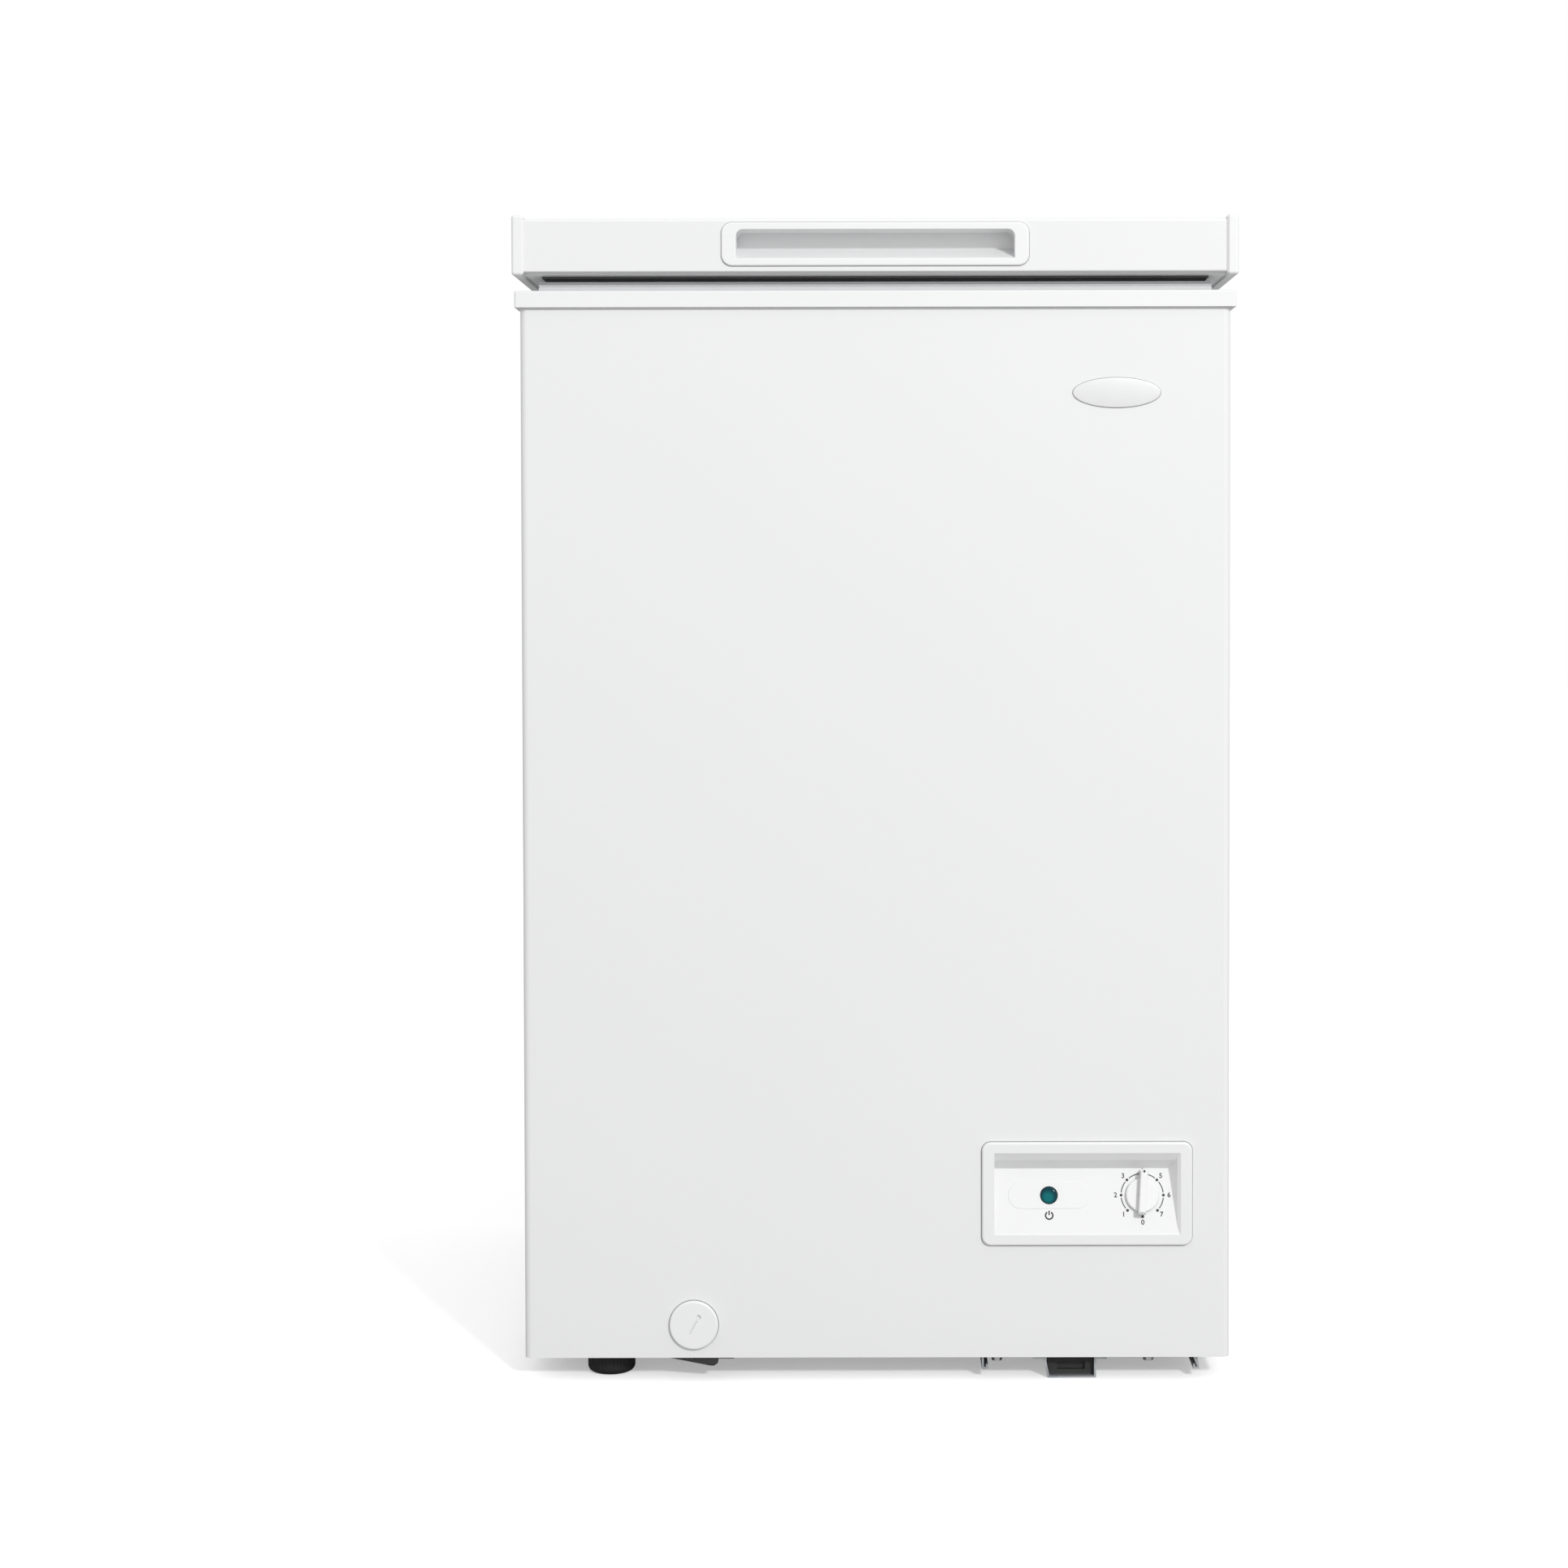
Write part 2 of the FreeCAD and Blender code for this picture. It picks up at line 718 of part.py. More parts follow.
def lid_gasket():
    """The soft magnetic seal: a magnet bulb, a narrow bellows neck and a base, all round the lid."""
    seal = Piece("lid_gasket")
    for inset, width, low, high in (
        ("0", "bulb_width", "collar_high + 0.2", "bulb_high"),
        ("4.4", "bulb_width - 8.8", "bulb_high", "bulb_high + 2.8"),
        ("2", "bulb_width - 4", "bulb_high + 2.8", "liner_plate_low"),
    ):
        seal.block(
            (f"-(bulb_half - {inset})", f"bulb_half - {inset}"),
            (f"bulb_front + {inset}", f"bulb_back - {inset}"),
            (low, high),
        )
        far = f"({inset} + {width})"
        seal.block(
            (f"-(bulb_half - {far})", f"bulb_half - {far}"),
            (f"bulb_front + {far}", f"bulb_back - {far}"),
            (low, high),
            cut=True,
        )
    return seal


def lid_handle():
    """The moulded handle: a flat bezel round a finger pocket that slopes out at its foot."""
    handle = Piece("lid_handle")
    face = "lid_front - handle_proud"
    ends, levels = ("-handle_half", "handle_half"), ("handle_low", "handle_high")
    handle.block(ends, (face, "lid_front"), levels)
    handle.round("handle_corner", along("y", list(ends), None, list(levels)))
    handle.round("1.2", flat_at(face))
    handle.prism(
        "YZ",
        [
            ("lid_front", "pocket_low - pocket_skin"),
            ("pocket_back", "pocket_low + 6.6"),
            ("pocket_back + pocket_skin", "pocket_low + 9"),
            ("pocket_back + pocket_skin", "pocket_high + 2"),
            ("lid_front", "pocket_high + 2"),
        ],
        ("-(pocket_half + pocket_skin)", "pocket_half + pocket_skin"),
    )
    handle.prism(
        "YZ",
        [
            (face, "pocket_low"),
            ("pocket_back - 1.2", "pocket_low + 8.6"),
            ("pocket_back", "pocket_low + 10"),
            ("pocket_back", "pocket_high"),
            (face, "pocket_high"),
        ],
        ("-pocket_half", "pocket_half"),
        cut=True,
    )
    handle.round("5", along("y", ["-pocket_half", "pocket_half"], None, "pocket_high"))
    handle.round("0.7", lambda e: flat_at(face)(e) and in_pocket(e))
    return handle


def in_pocket(edge):
    box, half = edge.BoundBox, num("pocket_half + 1")
    return box.XMax < half and box.XMin > -half and box.ZMin > num("pocket_low - 1")


# ---------------------------------------------------------------- hinges, one each side
def hinge_leaf_holes(side):
    """Screw places on a hinge's upper leaf, as (x, z)."""
    centre = f"{side} * hinge_x"
    return [(f"{centre} - 19", "lid_low + 9"), (f"{centre} + 19", "lid_low + 9"), (centre, "lid_low + 27")]


def hinge_ear_holes(side):
    """Screw places on a hinge's lower ears, as (x, z)."""
    centre = f"{side} * hinge_x"
    return [(f"{centre} {sign} 25", z) for sign in "-+" for z in ("channel_low + 14", "channel_low + 74")]


def name_side(stem, side):
    return f"{stem}_{'left' if side < 0 else 'right'}"


def hinge_base(side):
    """A pressed steel channel screwed to the back, holding the spring and the pin."""
    base = Piece(name_side("hinge_base", side))
    centre = f"{side} * hinge_x"
    inner = "channel_half - channel_metal"
    web = "overall_depth/2"
    ears, levels = (f"{centre} - 33", f"{centre} + 33"), ("channel_low", "channel_low + 88")
    base.block(ears, ("cab_back", "cab_back + 1.5"), levels)
    base.round("6", along("y", list(ears), None, list(levels)))
    base.prism(
        "YZ",
        [
            ("cab_back", "channel_low"),
            (f"{web} - 3", "channel_low"),
            (web, "channel_low + 6"),
            (web, "pin_z - 12"),
            ("pin_y + 8", "pin_z + 2"),
            ("pin_y + 5", "pin_z + 7.5"),
            ("pin_y - 5", "pin_z + 7.5"),
            ("pin_y - 8", "pin_z + 2"),
            ("cab_back + 0.6", "pin_z - 18"),
            ("cab_back", "pin_z - 18"),
        ],
        (f"{centre} - channel_half", f"{centre} + channel_half"),
    )
    base.prism(
        "YZ",
        [
            ("cab_back", "channel_low + channel_metal"),
            (f"{web} - 3.5", "channel_low + channel_metal"),
            (f"{web} - channel_metal", "channel_low + 5"),
            (f"{web} - channel_metal", "pin_z - 26"),
            (f"{web} + 1", "pin_z - 26"),
            (f"{web} + 1", "pin_z + 9"),
            ("cab_back", "pin_z + 9"),
        ],
        (f"{centre} - ({inner})", f"{centre} + {inner}"),
        cut=True,
    )
    span = (f"{centre} - channel_half", f"{centre} + channel_half")
    base.rod("x", ("pin_y", "pin_z"), "pin_radius + 0.03", span, cut=True)
    for x, z in hinge_ear_holes(side):
        base.rod("y", (x, z), "2.2", ("cab_back", "cab_back + 1.5"), cut=True)
    return base


def hinge_pin(side):
    """The pivot pin, headed at one end and riveted over at the other."""
    pin = Piece("hinge_pin", node=False)
    left, right = f"{side} * hinge_x - channel_half", f"{side} * hinge_x + channel_half"
    axis = ("pin_y", "pin_z")
    pin.rod("x", axis, "pin_radius", (f"{left} - 1.5", right))
    pin.rod("x", axis, "pin_radius + 1.8", (right, f"{right} + 2"))
    pin.rod("x", axis, "pin_radius + 1", (f"{left} - 1.5", left))
    return pin


def hinge_arm(side):
    """The moving half: a leaf screwed to the lid's back and an eccentric cam round the pin."""
    arm = Piece(name_side("hinge_arm", side))
    centre = f"{side} * hinge_x"
    leaf, levels = (f"{centre} - 26", f"{centre} + 26"), ("pin_z + 10.5", "pin_z + 44")
    arm.block(leaf, ("cab_back", "cab_back + 2.5"), levels)
    arm.round("5", along("y", list(leaf), None, list(levels)))
    arm.prism(
        "YZ",
        [
            ("cab_back + 2.5", "pin_z + 12"),
            ("pin_y - 8.5", "pin_z + 2"),
            ("pin_y", "pin_z"),
            ("pin_y + 5", "pin_z + 5"),
            ("pin_y + 3", "pin_z + 9"),
            ("pin_y - 8", "pin_z + 24"),
            ("cab_back + 2.5", "pin_z + 28"),
        ],
        (f"{centre} - 13", f"{centre} + 13"),
    )
    half_travel = "lid_travel / 2 * 1deg"
    arm.rod(
        "x",
        (f"pin_y - cam_throw * cos({half_travel})", f"pin_z - cam_throw * sin({half_travel})"),
        "cam_radius",
        (f"{centre} - 13", f"{centre} + 13"),
    )
    arm.rod("x", ("pin_y", "pin_z"), "pin_radius + 0.05", (f"{centre} - 14", f"{centre} + 14"), cut=True)
    for x, z in hinge_leaf_holes(side):
        arm.rod("y", (x, z), "1.9", ("cab_back", "cab_back + 2.5"), cut=True)
    return arm


def plunger_top():
    """The plunger's flat top, just under the cam with the lid shut."""
    return "pin_z - cam_radius - cam_throw * sin(lid_travel / 2 * 1deg) - 0.3"


def hinge_plunger(side):
    """The nylon block that the spring pushes up against the cam."""
    block = Piece(name_side("hinge_plunger", side))
    centre = f"{side} * hinge_x"
    block.block(
        (f"{centre} - 14.5", f"{centre} + 14.5"),
        ("cab_back + 1", "overall_depth/2 - 2.5"),
        ("plunger_low", plunger_top()),
    )
    block.rod("z", (centre, "pin_y - 1"), "5", ("plunger_low - 8", "plunger_low"))
    return block


def hinge_spring(side):
    """The compression spring under the plunger."""
    wire, mean, coils = 1.1, 6.9, 11
    low = num("channel_low + channel_metal") + wire + 0.1
    high = num("plunger_low") - wire - 0.1
    helix = Part.makeHelix((high - low) / coils, high - low, mean)
    ring = Part.Wire([Part.Circle(FreeCAD.Vector(mean, 0, 0), FreeCAD.Vector(0, 1, 0), wire).toShape()])
    coil = Part.Wire(helix).makePipeShell([ring], True, True)
    coil.translate(FreeCAD.Vector(num(f"{side} * hinge_x"), num("pin_y - 1"), low))
    return solid_node(name_side("hinge_spring", side), coil)


def hinge_screws():
    """Screws that hold the hinges: four on each lower channel, three on each upper leaf."""
    fixed, moving = [], []
    for side in (-1, 1):
        for x, z in hinge_ear_holes(side):
            made = screw("hinge_base_screw", "4.2", "2", "2.1", "12")
            fixed.append(made.at(x, "cab_back + 1.5", z, "back"))
        for x, z in hinge_leaf_holes(side):
            made = screw("hinge_arm_screw", "3.6", "1.8", "1.8", "11")
            moving.append(made.at(x, "cab_back + 2.5", z, "back"))
    group("hinge_base_screws", fixed)
    group("hinge_arm_screws", moving)


# ---------------------------------------------------------------- control panel
def floor_y(z, shift="0"):
    """Where the control panel's sloping floor lies at a height: flush at the foot, deep at the top."""
    rise = f"(({z}) - recess_low) * recess_depth / (recess_high - recess_low)"
    return f"cab_front - bezel_proud + 0.6 + {rise} + {shift}"


def control_bezel():
    """The recessed control panel: a raised frame round a floor that leans back at the top."""
    bezel = Piece("bezel_block", node=False)
    face = "cab_front - bezel_proud"
    sides, levels = ("bezel_left", "bezel_right"), ("bezel_low", "bezel_high")
    bezel.block(sides, (face, "cab_front"), levels)
    bezel.round("bezel_corner", along("y", list(sides), None, list(levels)))
    bezel.round("1.5", flat_at(face))
    back = "cab_front - bezel_proud + recess_depth + 6"
    bezel.block(
        ("recess_left - 2", "recess_right + 2"), ("cab_front", back), ("recess_low - 2", "recess_high + 2")
    )
    # the hollow behind the floor
    bezel.prism(
        "YZ",
        [
            (floor_y("recess_low + 8", "2.4"), "recess_low + 8"),
            (floor_y("recess_high - 12", "2.4"), "recess_high - 12"),
            (back, "recess_high - 12"),
            (back, "recess_low + 8"),
        ],
        ("recess_left + 10", "recess_right - 10"),
        cut=True,
    )
    tools = [recess_space()]
    for x, radius in (("knob_x", "3.3"), ("lamp_x", "6.6")):
        hole = Piece("bezel_hole", node=False)
        hole.rod("z", ("0", "0"), radius, ("-12", "12"))
        tools.append(tilted(hole, x))
    cut("control_bezel", bezel, tools)


def recess_space():
    """The space in front of the sloping floor, under a roof in two slopes and beside a splayed right wall."""
    space = Piece("recess_space", node=False)
    face = "cab_front - bezel_proud"
    corner = "recess_high - 13.8"
    space.prism(
        "YZ",
        [
            (f"{face} - 1", "recess_low"),
            (f"{face} - 1", "recess_high"),
            (face, "recess_high"),
            (f"{face} + 4", "recess_high - 6"),
            (floor_y(corner), corner),
            (floor_y("recess_low"), "recess_low"),
        ],
        ("recess_left", "recess_right"),
    )
    space.prism(
        "XY",
        [
            ("recess_right", face),
            ("recess_right + 1", face),
            ("recess_right + 1", f"{face} + 16"),
            ("recess_right - 10.2", f"{face} + 16"),
            ("recess_right - 2.4", f"{face} + 2"),
        ],
        ("recess_low - 1", "recess_high + 1"),
        cut=True,
    )
    return space


def tilted(piece, x, turn=0):
    """Stands a body on the sloping floor at the knob's height, its own Z axis square to the floor."""
    slope = math.atan(num("recess_depth / (recess_high - recess_low)"))
    outward = FreeCAD.Vector(0, -math.cos(slope), math.sin(slope))
    up = FreeCAD.Vector(0, 0, 1)
    piece.body.Placement.Rotation = FreeCAD.Rotation(up, outward).multiply(FreeCAD.Rotation(up, turn))
    bind(piece.body, "Placement.Base.x", x)
    bind(piece.body, "Placement.Base.y", floor_y("knob_z"))
    bind(piece.body, "Placement.Base.z", "knob_z")
    return piece


def thermostat_knob():
    """The dial: a round skirt with a finger bar across it that points just past upright, on its own shaft."""
    knob = Piece("thermostat_knob")
    knob.rod("z", ("0", "0"), "12.2", ("0.4", "3.2"))
    knob.round("1.2", round_edge("12.2", "3.2"))
    knob.prism(
        "YZ",
        [("-14", "0.8"), ("18", "0.8"), ("18", "7.2"), ("16.4", "9.2"), ("-12.4", "9.2"), ("-14", "7.2")],
        ("-2.7", "2.7"),
    )
    knob.round("0.8", along("y", ["-2.7", "2.7"], None, "9.2"))
    knob.rod("z", ("0", "0"), "3", ("0.3", "6"), cut=True)
    tilted(knob, "knob_x", -4)
    shaft = Piece("thermostat_shaft")
    shaft.rod("z", ("0", "0"), "3", ("-10", "6"))
    tilted(shaft, "knob_x")


def thermostat_body():
    """The thermostat behind the panel, on its mounting plate."""
    body = Piece("thermostat_body")
    body.block(("-16", "16"), ("-12", "12"), ("-32", "-10.5"))
    body.round("2", along("z", ["-16", "16"], ["-12", "12"]))
    body.block(("-16", "16"), ("-9", "9"), ("-10.5", "-9"))
    body.rod("z", ("0", "0"), "4.6", ("-9", "-2.4"))
    body.rod("z", ("0", "0"), "3.05", ("-12", "-2"), cut=True)
    for x in ("-7", "0", "7"):
        body.block((f"{x} - 3", f"{x} + 3"), ("-0.4", "0.4"), ("-40", "-32"))
    tilted(body, "knob_x")


def pilot_lamp():
    """The running light: a black holder behind the panel and a domed green lens."""
    holder = Piece("pilot_lamp_holder")
    holder.rod("z", ("0", "0"), "6.5", ("-14", "-1.2"))
    holder.rod("z", ("0", "0"), "5", ("-11", "-1.2"), cut=True)
    holder.block(("-4", "-3.2"), ("-2.5", "2.5"), ("-21", "-14"))
    holder.block(("3.2", "4"), ("-2.5", "2.5"), ("-21", "-14"))
    tilted(holder, "lamp_x")
    lens = Piece("pilot_lamp_lens")
    lens.rod("z", ("0", "0"), "6.1", ("-1.2", "1.8"))
    lens.round("1.6", round_edge("6.1", "1.8"))
    lens.rod("z", ("0", "0"), "4.9", ("-9", "-1.2"))
    tilted(lens, "lamp_x")


# ---------------------------------------------------------------- drain
def drain_parts():
    """Pipe from the tub's floor to the front, its socket, pull-out spout, slotted cap and the tub's plug."""
    solid_node("drain_pipe", tube_shape(DRAIN_ROUTE, num("pipe_outer"), DRAIN_BEND, num("pipe_inner")))
    socket = Piece("drain_socket").at("drain_x", "cab_front", "drain_z", "front")
    socket.rod("z", ("0", "0"), "19.8", ("-12.8", "-sheet"))
    socket.rod("z", ("0", "0"), "16.3", ("-10.8", "-sheet"), cut=True)
    socket.rod("z", ("0", "0"), "pipe_inner", ("-12.8", "-10.8"), cut=True)
    spout = Piece("drain_spout").at("drain_x", "cab_front", "drain_z", "front")
    spout.rod("z", ("0", "0"), "pipe_inner - 0.08", ("-52", "-1.2"))
    spout.rod("z", ("0", "0"), "pipe_inner - 2", ("-52", "-1.2"), cut=True)
    spout.rod("z", ("0", "0"), "11", ("-8.4", "-6.6"))
    spout.rod("z", ("0", "0"), "pipe_inner - 2", ("-9", "-6"), cut=True)
    cap = Piece("drain_cap").at("drain_x", "cab_front", "drain_z", "front")
    cap.rod("z", ("0", "0"), "drain_cap_radius", ("0.3", "3"))
    cap.round("1.4", round_edge("drain_cap_radius", "3"))
    cap.rod("z", ("0", "0"), "15.4", ("-5.6", "0.3"))
    cap.rod("z", ("0", "0"), "13.6", ("-5.6", "-0.2"), cut=True)
    cap.rod("z", ("0", "0"), "pipe_inner + 1.8", ("-5.6", "-0.2"))
    cap.rod("z", ("0", "0"), "pipe_inner", ("-5.6", "-1"), cut=True)
    # the coin slot leans, and opens into a round end
    cos, sin = "cos(60deg)", "sin(60deg)"
    corners = (("-7", "-0.8"), ("7", "-0.8"), ("7", "0.8"), ("-7", "0.8"))
    slot = [(f"{a} * {cos} - ({b}) * {sin}", f"{a} * {sin} + {b} * {cos}") for a, b in corners]
    cap.prism("XY", slot, ("1.4", "4"), cut=True)
    cap.rod("z", (f"7 * {cos}", f"7 * {sin}"), "1.8", ("1.4", "4"), cut=True)
    plug = Piece("drain_plug").at("drain_x", "drain_y", "tub_floor", "up")
    plug.rod("z", ("0", "0"), "13", ("0.1", "3"))
    plug.round("1.2", round_edge("13", "3"))
    plug.rod("z", ("0", "0"), "pipe_inner - 0.08", ("-14", "0.1"))
    plug.block(("-8", "8"), ("-1.2", "1.2"), ("3", "11"))
    plug.round("3", along("y", ["-8", "8"], None, "11"))
    plug.rod("y", ("0", "7"), "2", ("-2", "2"), cut=True)


# ---------------------------------------------------------------- things it stands on
def levelling_foot(name, y):
    """A ribbed black foot on a threaded stud."""
    foot = Piece(name).at("foot_x", y, 0)
    foot.rod("z", ("0", "0"), "foot_radius", ("0", "foot_high"))
    foot.round("4.5", round_edge("foot_radius", "0"))
    foot.round("0.8", round_edge("foot_radius", "foot_high"))
    groove = foot.rod("z", ("foot_radius + 0.5", "0"), "0.9", ("5", "foot_high - 1.6"), cut=True)
    foot.ring_of([groove], 36)
    foot.rod("z", ("0", "0"), "4", ("foot_high", "foot_high + 24"))


def foot_nuts():
    """The two hexagon nut plates in the bottom that the feet screw into."""
    pieces = []
    for y in ("foot_front", "foot_rear"):
        nut = Piece("foot_nut", node=False).at("foot_x", y, "cab_base + sheet * 2")
        nut.prism(
            "XY",
            [(f"12 * cos({angle}deg)", f"12 * sin({angle}deg)") for angle in range(0, 360, 60)],
            ("0", "9"),
        )
        nut.rod("z", ("0", "0"), "4.05", ("-1", "10"), cut=True)
        pieces.append(nut)
    group("foot_nuts", pieces)


def base_plate():
    """The galvanised tray under the compressor bay, with a curled flange along each side."""
    plate = Piece("base_plate")
    low, high = "cab_base - plate_metal", "cab_base"
    foot, metal = "cab_base - 10", "plate_metal"
    plate.prism(
        "XZ",
        [
            ("plate_left", high),
            ("plate_left", foot),
            ("plate_left + 4.5", foot),
            ("plate_left + 4.5", f"{foot} + 3.5"),
            (f"plate_left + 4.5 - {metal}", f"{foot} + 3.5"),
            (f"plate_left + 4.5 - {metal}", f"{foot} + {metal}"),
            (f"plate_left + {metal}", f"{foot} + {metal}"),
            (f"plate_left + {metal}", low),
            (f"plate_right - {metal} - 3", low),
            (f"plate_right - {metal}", f"{foot} + {metal}"),
            (f"plate_right - 4.5 + {metal}", f"{foot} + {metal}"),
            (f"plate_right - 4.5 + {metal}", f"{foot} + 3.5"),
            ("plate_right - 4.5", f"{foot} + 3.5"),
            ("plate_right - 4.5", foot),
            ("plate_right", foot),
            (f"plate_right - 3 + {metal}", high),
        ],
        ("cab_front + 5", "cab_back - 5"),
    )
    for x in PLATE_BOLTS_X:
        for y in (PLATE_BOLT_FRONT, PLATE_BOLT_REAR):
            plate.rod("z", (x, y), "2.5", (low, high), cut=True)
    for x, y in motor_mounts():
        plate.rod("z", (x, y), "4", (low, high), cut=True)


def motor_mounts():
    return [(f"motor_x {a} 54", f"motor_y {b} 76") for a in "-+" for b in "-+"]


def base_plate_bolts():
    """Hexagon-washer bolts that hold the tray to the cabinet's hems."""
    pieces = []
    for x in PLATE_BOLTS_X:
        for y in (PLATE_BOLT_FRONT, PLATE_BOLT_REAR):
            bolt = Piece("base_plate_bolt", node=False).at(x, y, "cab_base - plate_metal", "down")
            bolt.rod("z", ("0", "0"), "5", ("0", "1"))
            bolt.prism(
                "XY",
                [(f"3.9 * cos({angle}deg)", f"3.9 * sin({angle}deg)") for angle in range(0, 360, 60)],
                ("1", "3.6"),
            )
            bolt.rod("z", ("0", "0"), "2.45", ("-10", "0"))
            pieces.append(bolt)
    group("base_plate_bolts", pieces)


def support_brackets():
    """Two channels under the tray that stand on the floor, each holding a rubber block."""
    blocks = []
    for name, front in (("front", "cab_front + 6"), ("rear", "cab_back - 46")):
        bracket = Piece(f"support_bracket_{name}")
        top, metal = "cab_base - plate_metal", "plate_metal"
        span = (front, f"{front} + 40")
        bracket.prism(
            "XZ",
            [
                ("support_left - 10", f"{top} - {metal}"),
                ("support_left - 2.4", f"{top} - {metal}"),
                ("support_left + 0.6", "0"),
                ("support_right", "0"),
                ("support_right", f"{top} - {metal}"),
                ("support_right + 8", f"{top} - {metal}"),
                ("support_right + 8", top),
                (f"support_right - {metal}", top),
                (f"support_right - {metal}", metal),
                (f"support_left + 0.6 + {metal}", metal),
                (f"support_left - 2.4 + {metal}", top),
                ("support_left - 10", top),
            ],
            span,
        )
        bracket.round("1", along("y", ["support_right", "support_left + 0.6"], None, "0"))
        block = Piece("support_block", node=False)
        inset = "5" if name == "front" else "2"
        block.prism(
            "XZ",
            [
                (f"support_left + 1 + {metal}", metal),
                (f"support_right - {metal} - 0.4", metal),
                (f"support_right - {metal} - 0.4", f"{top} - 0.3"),
                (f"support_left - 1.6 + {metal}", f"{top} - 0.3"),
            ],
            (f"{front} + {inset}", f"{front} + 36"),
        )
        block.block(
            ("support_left + 8", "support_right - 8"),
            (f"{front} + {inset}", f"{front} + {inset} + 3"),
            ("5", "11"),
            cut=True,
        )
        blocks.append(block)
    group("support_blocks", blocks)


def underside_clip():
    """A dark steel tab riveted under the front edge beside the drain, bent down towards its right end."""
    clip = Piece("underside_clip_plate", node=False)
    top = "cab_base"
    clip.prism(
        "XZ",
        [
            ("drain_x - 17", f"{top} - 0.05"),
            ("drain_x + 29", f"{top} - 0.05"),
            ("drain_x + 29", f"{top} - 1.3"),
            ("drain_x + 17.4", f"{top} - 1.3"),
            ("drain_x + 17.4", f"{top} - 4.6"),
            ("drain_x + 14.6", f"{top} - 6.6"),
            ("drain_x + 12", f"{top} - 6.6"),
            ("drain_x - 17", f"{top} - 0.9"),
        ],
        ("cab_front + 2.5", "cab_front + 17"),
    )
    bends_x, bends_z = ["drain_x + 17.4", "drain_x + 14.6"], [f"{top} - 4.6", f"{top} - 6.6"]
    clip.round("1.2", along("y", bends_x, None, bends_z))
    rivet = Piece("underside_clip_rivet", node=False)
    rivet.at("drain_x - 2", "cab_front + 2.5", f"{top} - 2", "front")
    rivet.rod("z", ("0", "0"), "1.4", ("0", "0.9"))
    rivet.round("0.6", round_edge("1.4", "0.9"))
    group("underside_clip", [clip, rivet])


# ---------------------------------------------------------------- compressor and refrigerant circuit
def compressor():
    """The hermetic compressor: a domed pot with a welded seam, on a plate with four ears."""
    pot = Piece("compressor").at("motor_x", "motor_y", "motor_low")
    pot.rod("z", ("0", "0"), "motor_radius", ("0", "motor_tall"))
    pot.round("26", round_edge("motor_radius", "motor_tall"))
    pot.round("18", round_edge("motor_radius", "0"))
    pot.rod("z", ("0", "0"), "motor_radius + 3.5", ("motor_tall * 0.56", "motor_tall * 0.56 + 5"))
    pot.round("1.5", round_edge("motor_radius + 3.5", ["motor_tall * 0.56", "motor_tall * 0.56 + 5"]))
    pot.rod("z", ("0", "0"), "motor_radius - 10", ("20", "motor_tall - 20"), cut=True)
    pot.block(("-66", "66"), ("-88", "88"), ("-1", "2"))
    pot.round("14", along("z", ["-66", "66"], ["-88", "88"]))
    for a in "-+":
        for b in "-+":
            pot.rod("z", (f"{a}54", f"{b}76"), "8", ("-1", "2"), cut=True)
    for x, y, radius in (("44", "-16", "5"), ("-44", "20", "4"), ("44", "18", "4")):
        pot.rod("z", (x, y), radius, ("motor_tall - 40", "motor_tall + 6"))


def compressor_grommets():
    """Four rubber mounts under the compressor's ears, with a bolt, washer and nut through each."""
    rubbers, bolts = [], []
    for x, y in motor_mounts():
        rubber = Piece("compressor_grommet", node=False).at(x, y, "cab_base")
        rubber.turned(
            [
                ("4.2", "0"),
                ("13", "0"),
                ("13", "5"),
                ("10.5", "7"),
                ("13", "9"),
                ("13", "16"),
                ("7.9", "16"),
                ("7.9", "19.1"),
                ("11", "19.1"),
                ("11", "22"),
                ("4.2", "22"),
            ]
        )
        rubbers.append(rubber)
        bolt = Piece("compressor_bolt", node=False).at(x, y, "cab_base")
        bolt.rod("z", ("0", "0"), "3.9", ("-plate_metal", "30"))
        bolt.rod("z", ("0", "0"), "10", ("22.1", "23.6"))
        bolt.prism(
            "XY",
            [(f"7 * cos({angle}deg)", f"7 * sin({angle}deg)") for angle in range(0, 360, 60)],
            ("23.6", "28"),
        )
        bolt.rod("z", ("0", "0"), "7", ("-plate_metal - 3", "-plate_metal"))
        bolts.append(bolt)
    group("compressor_grommets", rubbers)
    group("compressor_bolts", bolts)


def relay_cover():
    """The plastic cover over the starting relay, clipped to the front of the compressor."""
    cover = Piece("relay_cover")
    y = "motor_y - motor_radius"
    cover.block(("motor_x - 24", "motor_x + 24"), (f"{y} - 27", f"{y} - 1.6"), ("58", "114"))
    cover.round("4", along("y", ["motor_x - 24", "motor_x + 24"], None, ["58", "114"]))
    cover.round("3", flat_at(f"{y} - 27"))
    cover.block(("motor_x - 10", "motor_x + 10"), (f"{y} - 1.6", f"{y} - 0.05"), ("70", "102"))


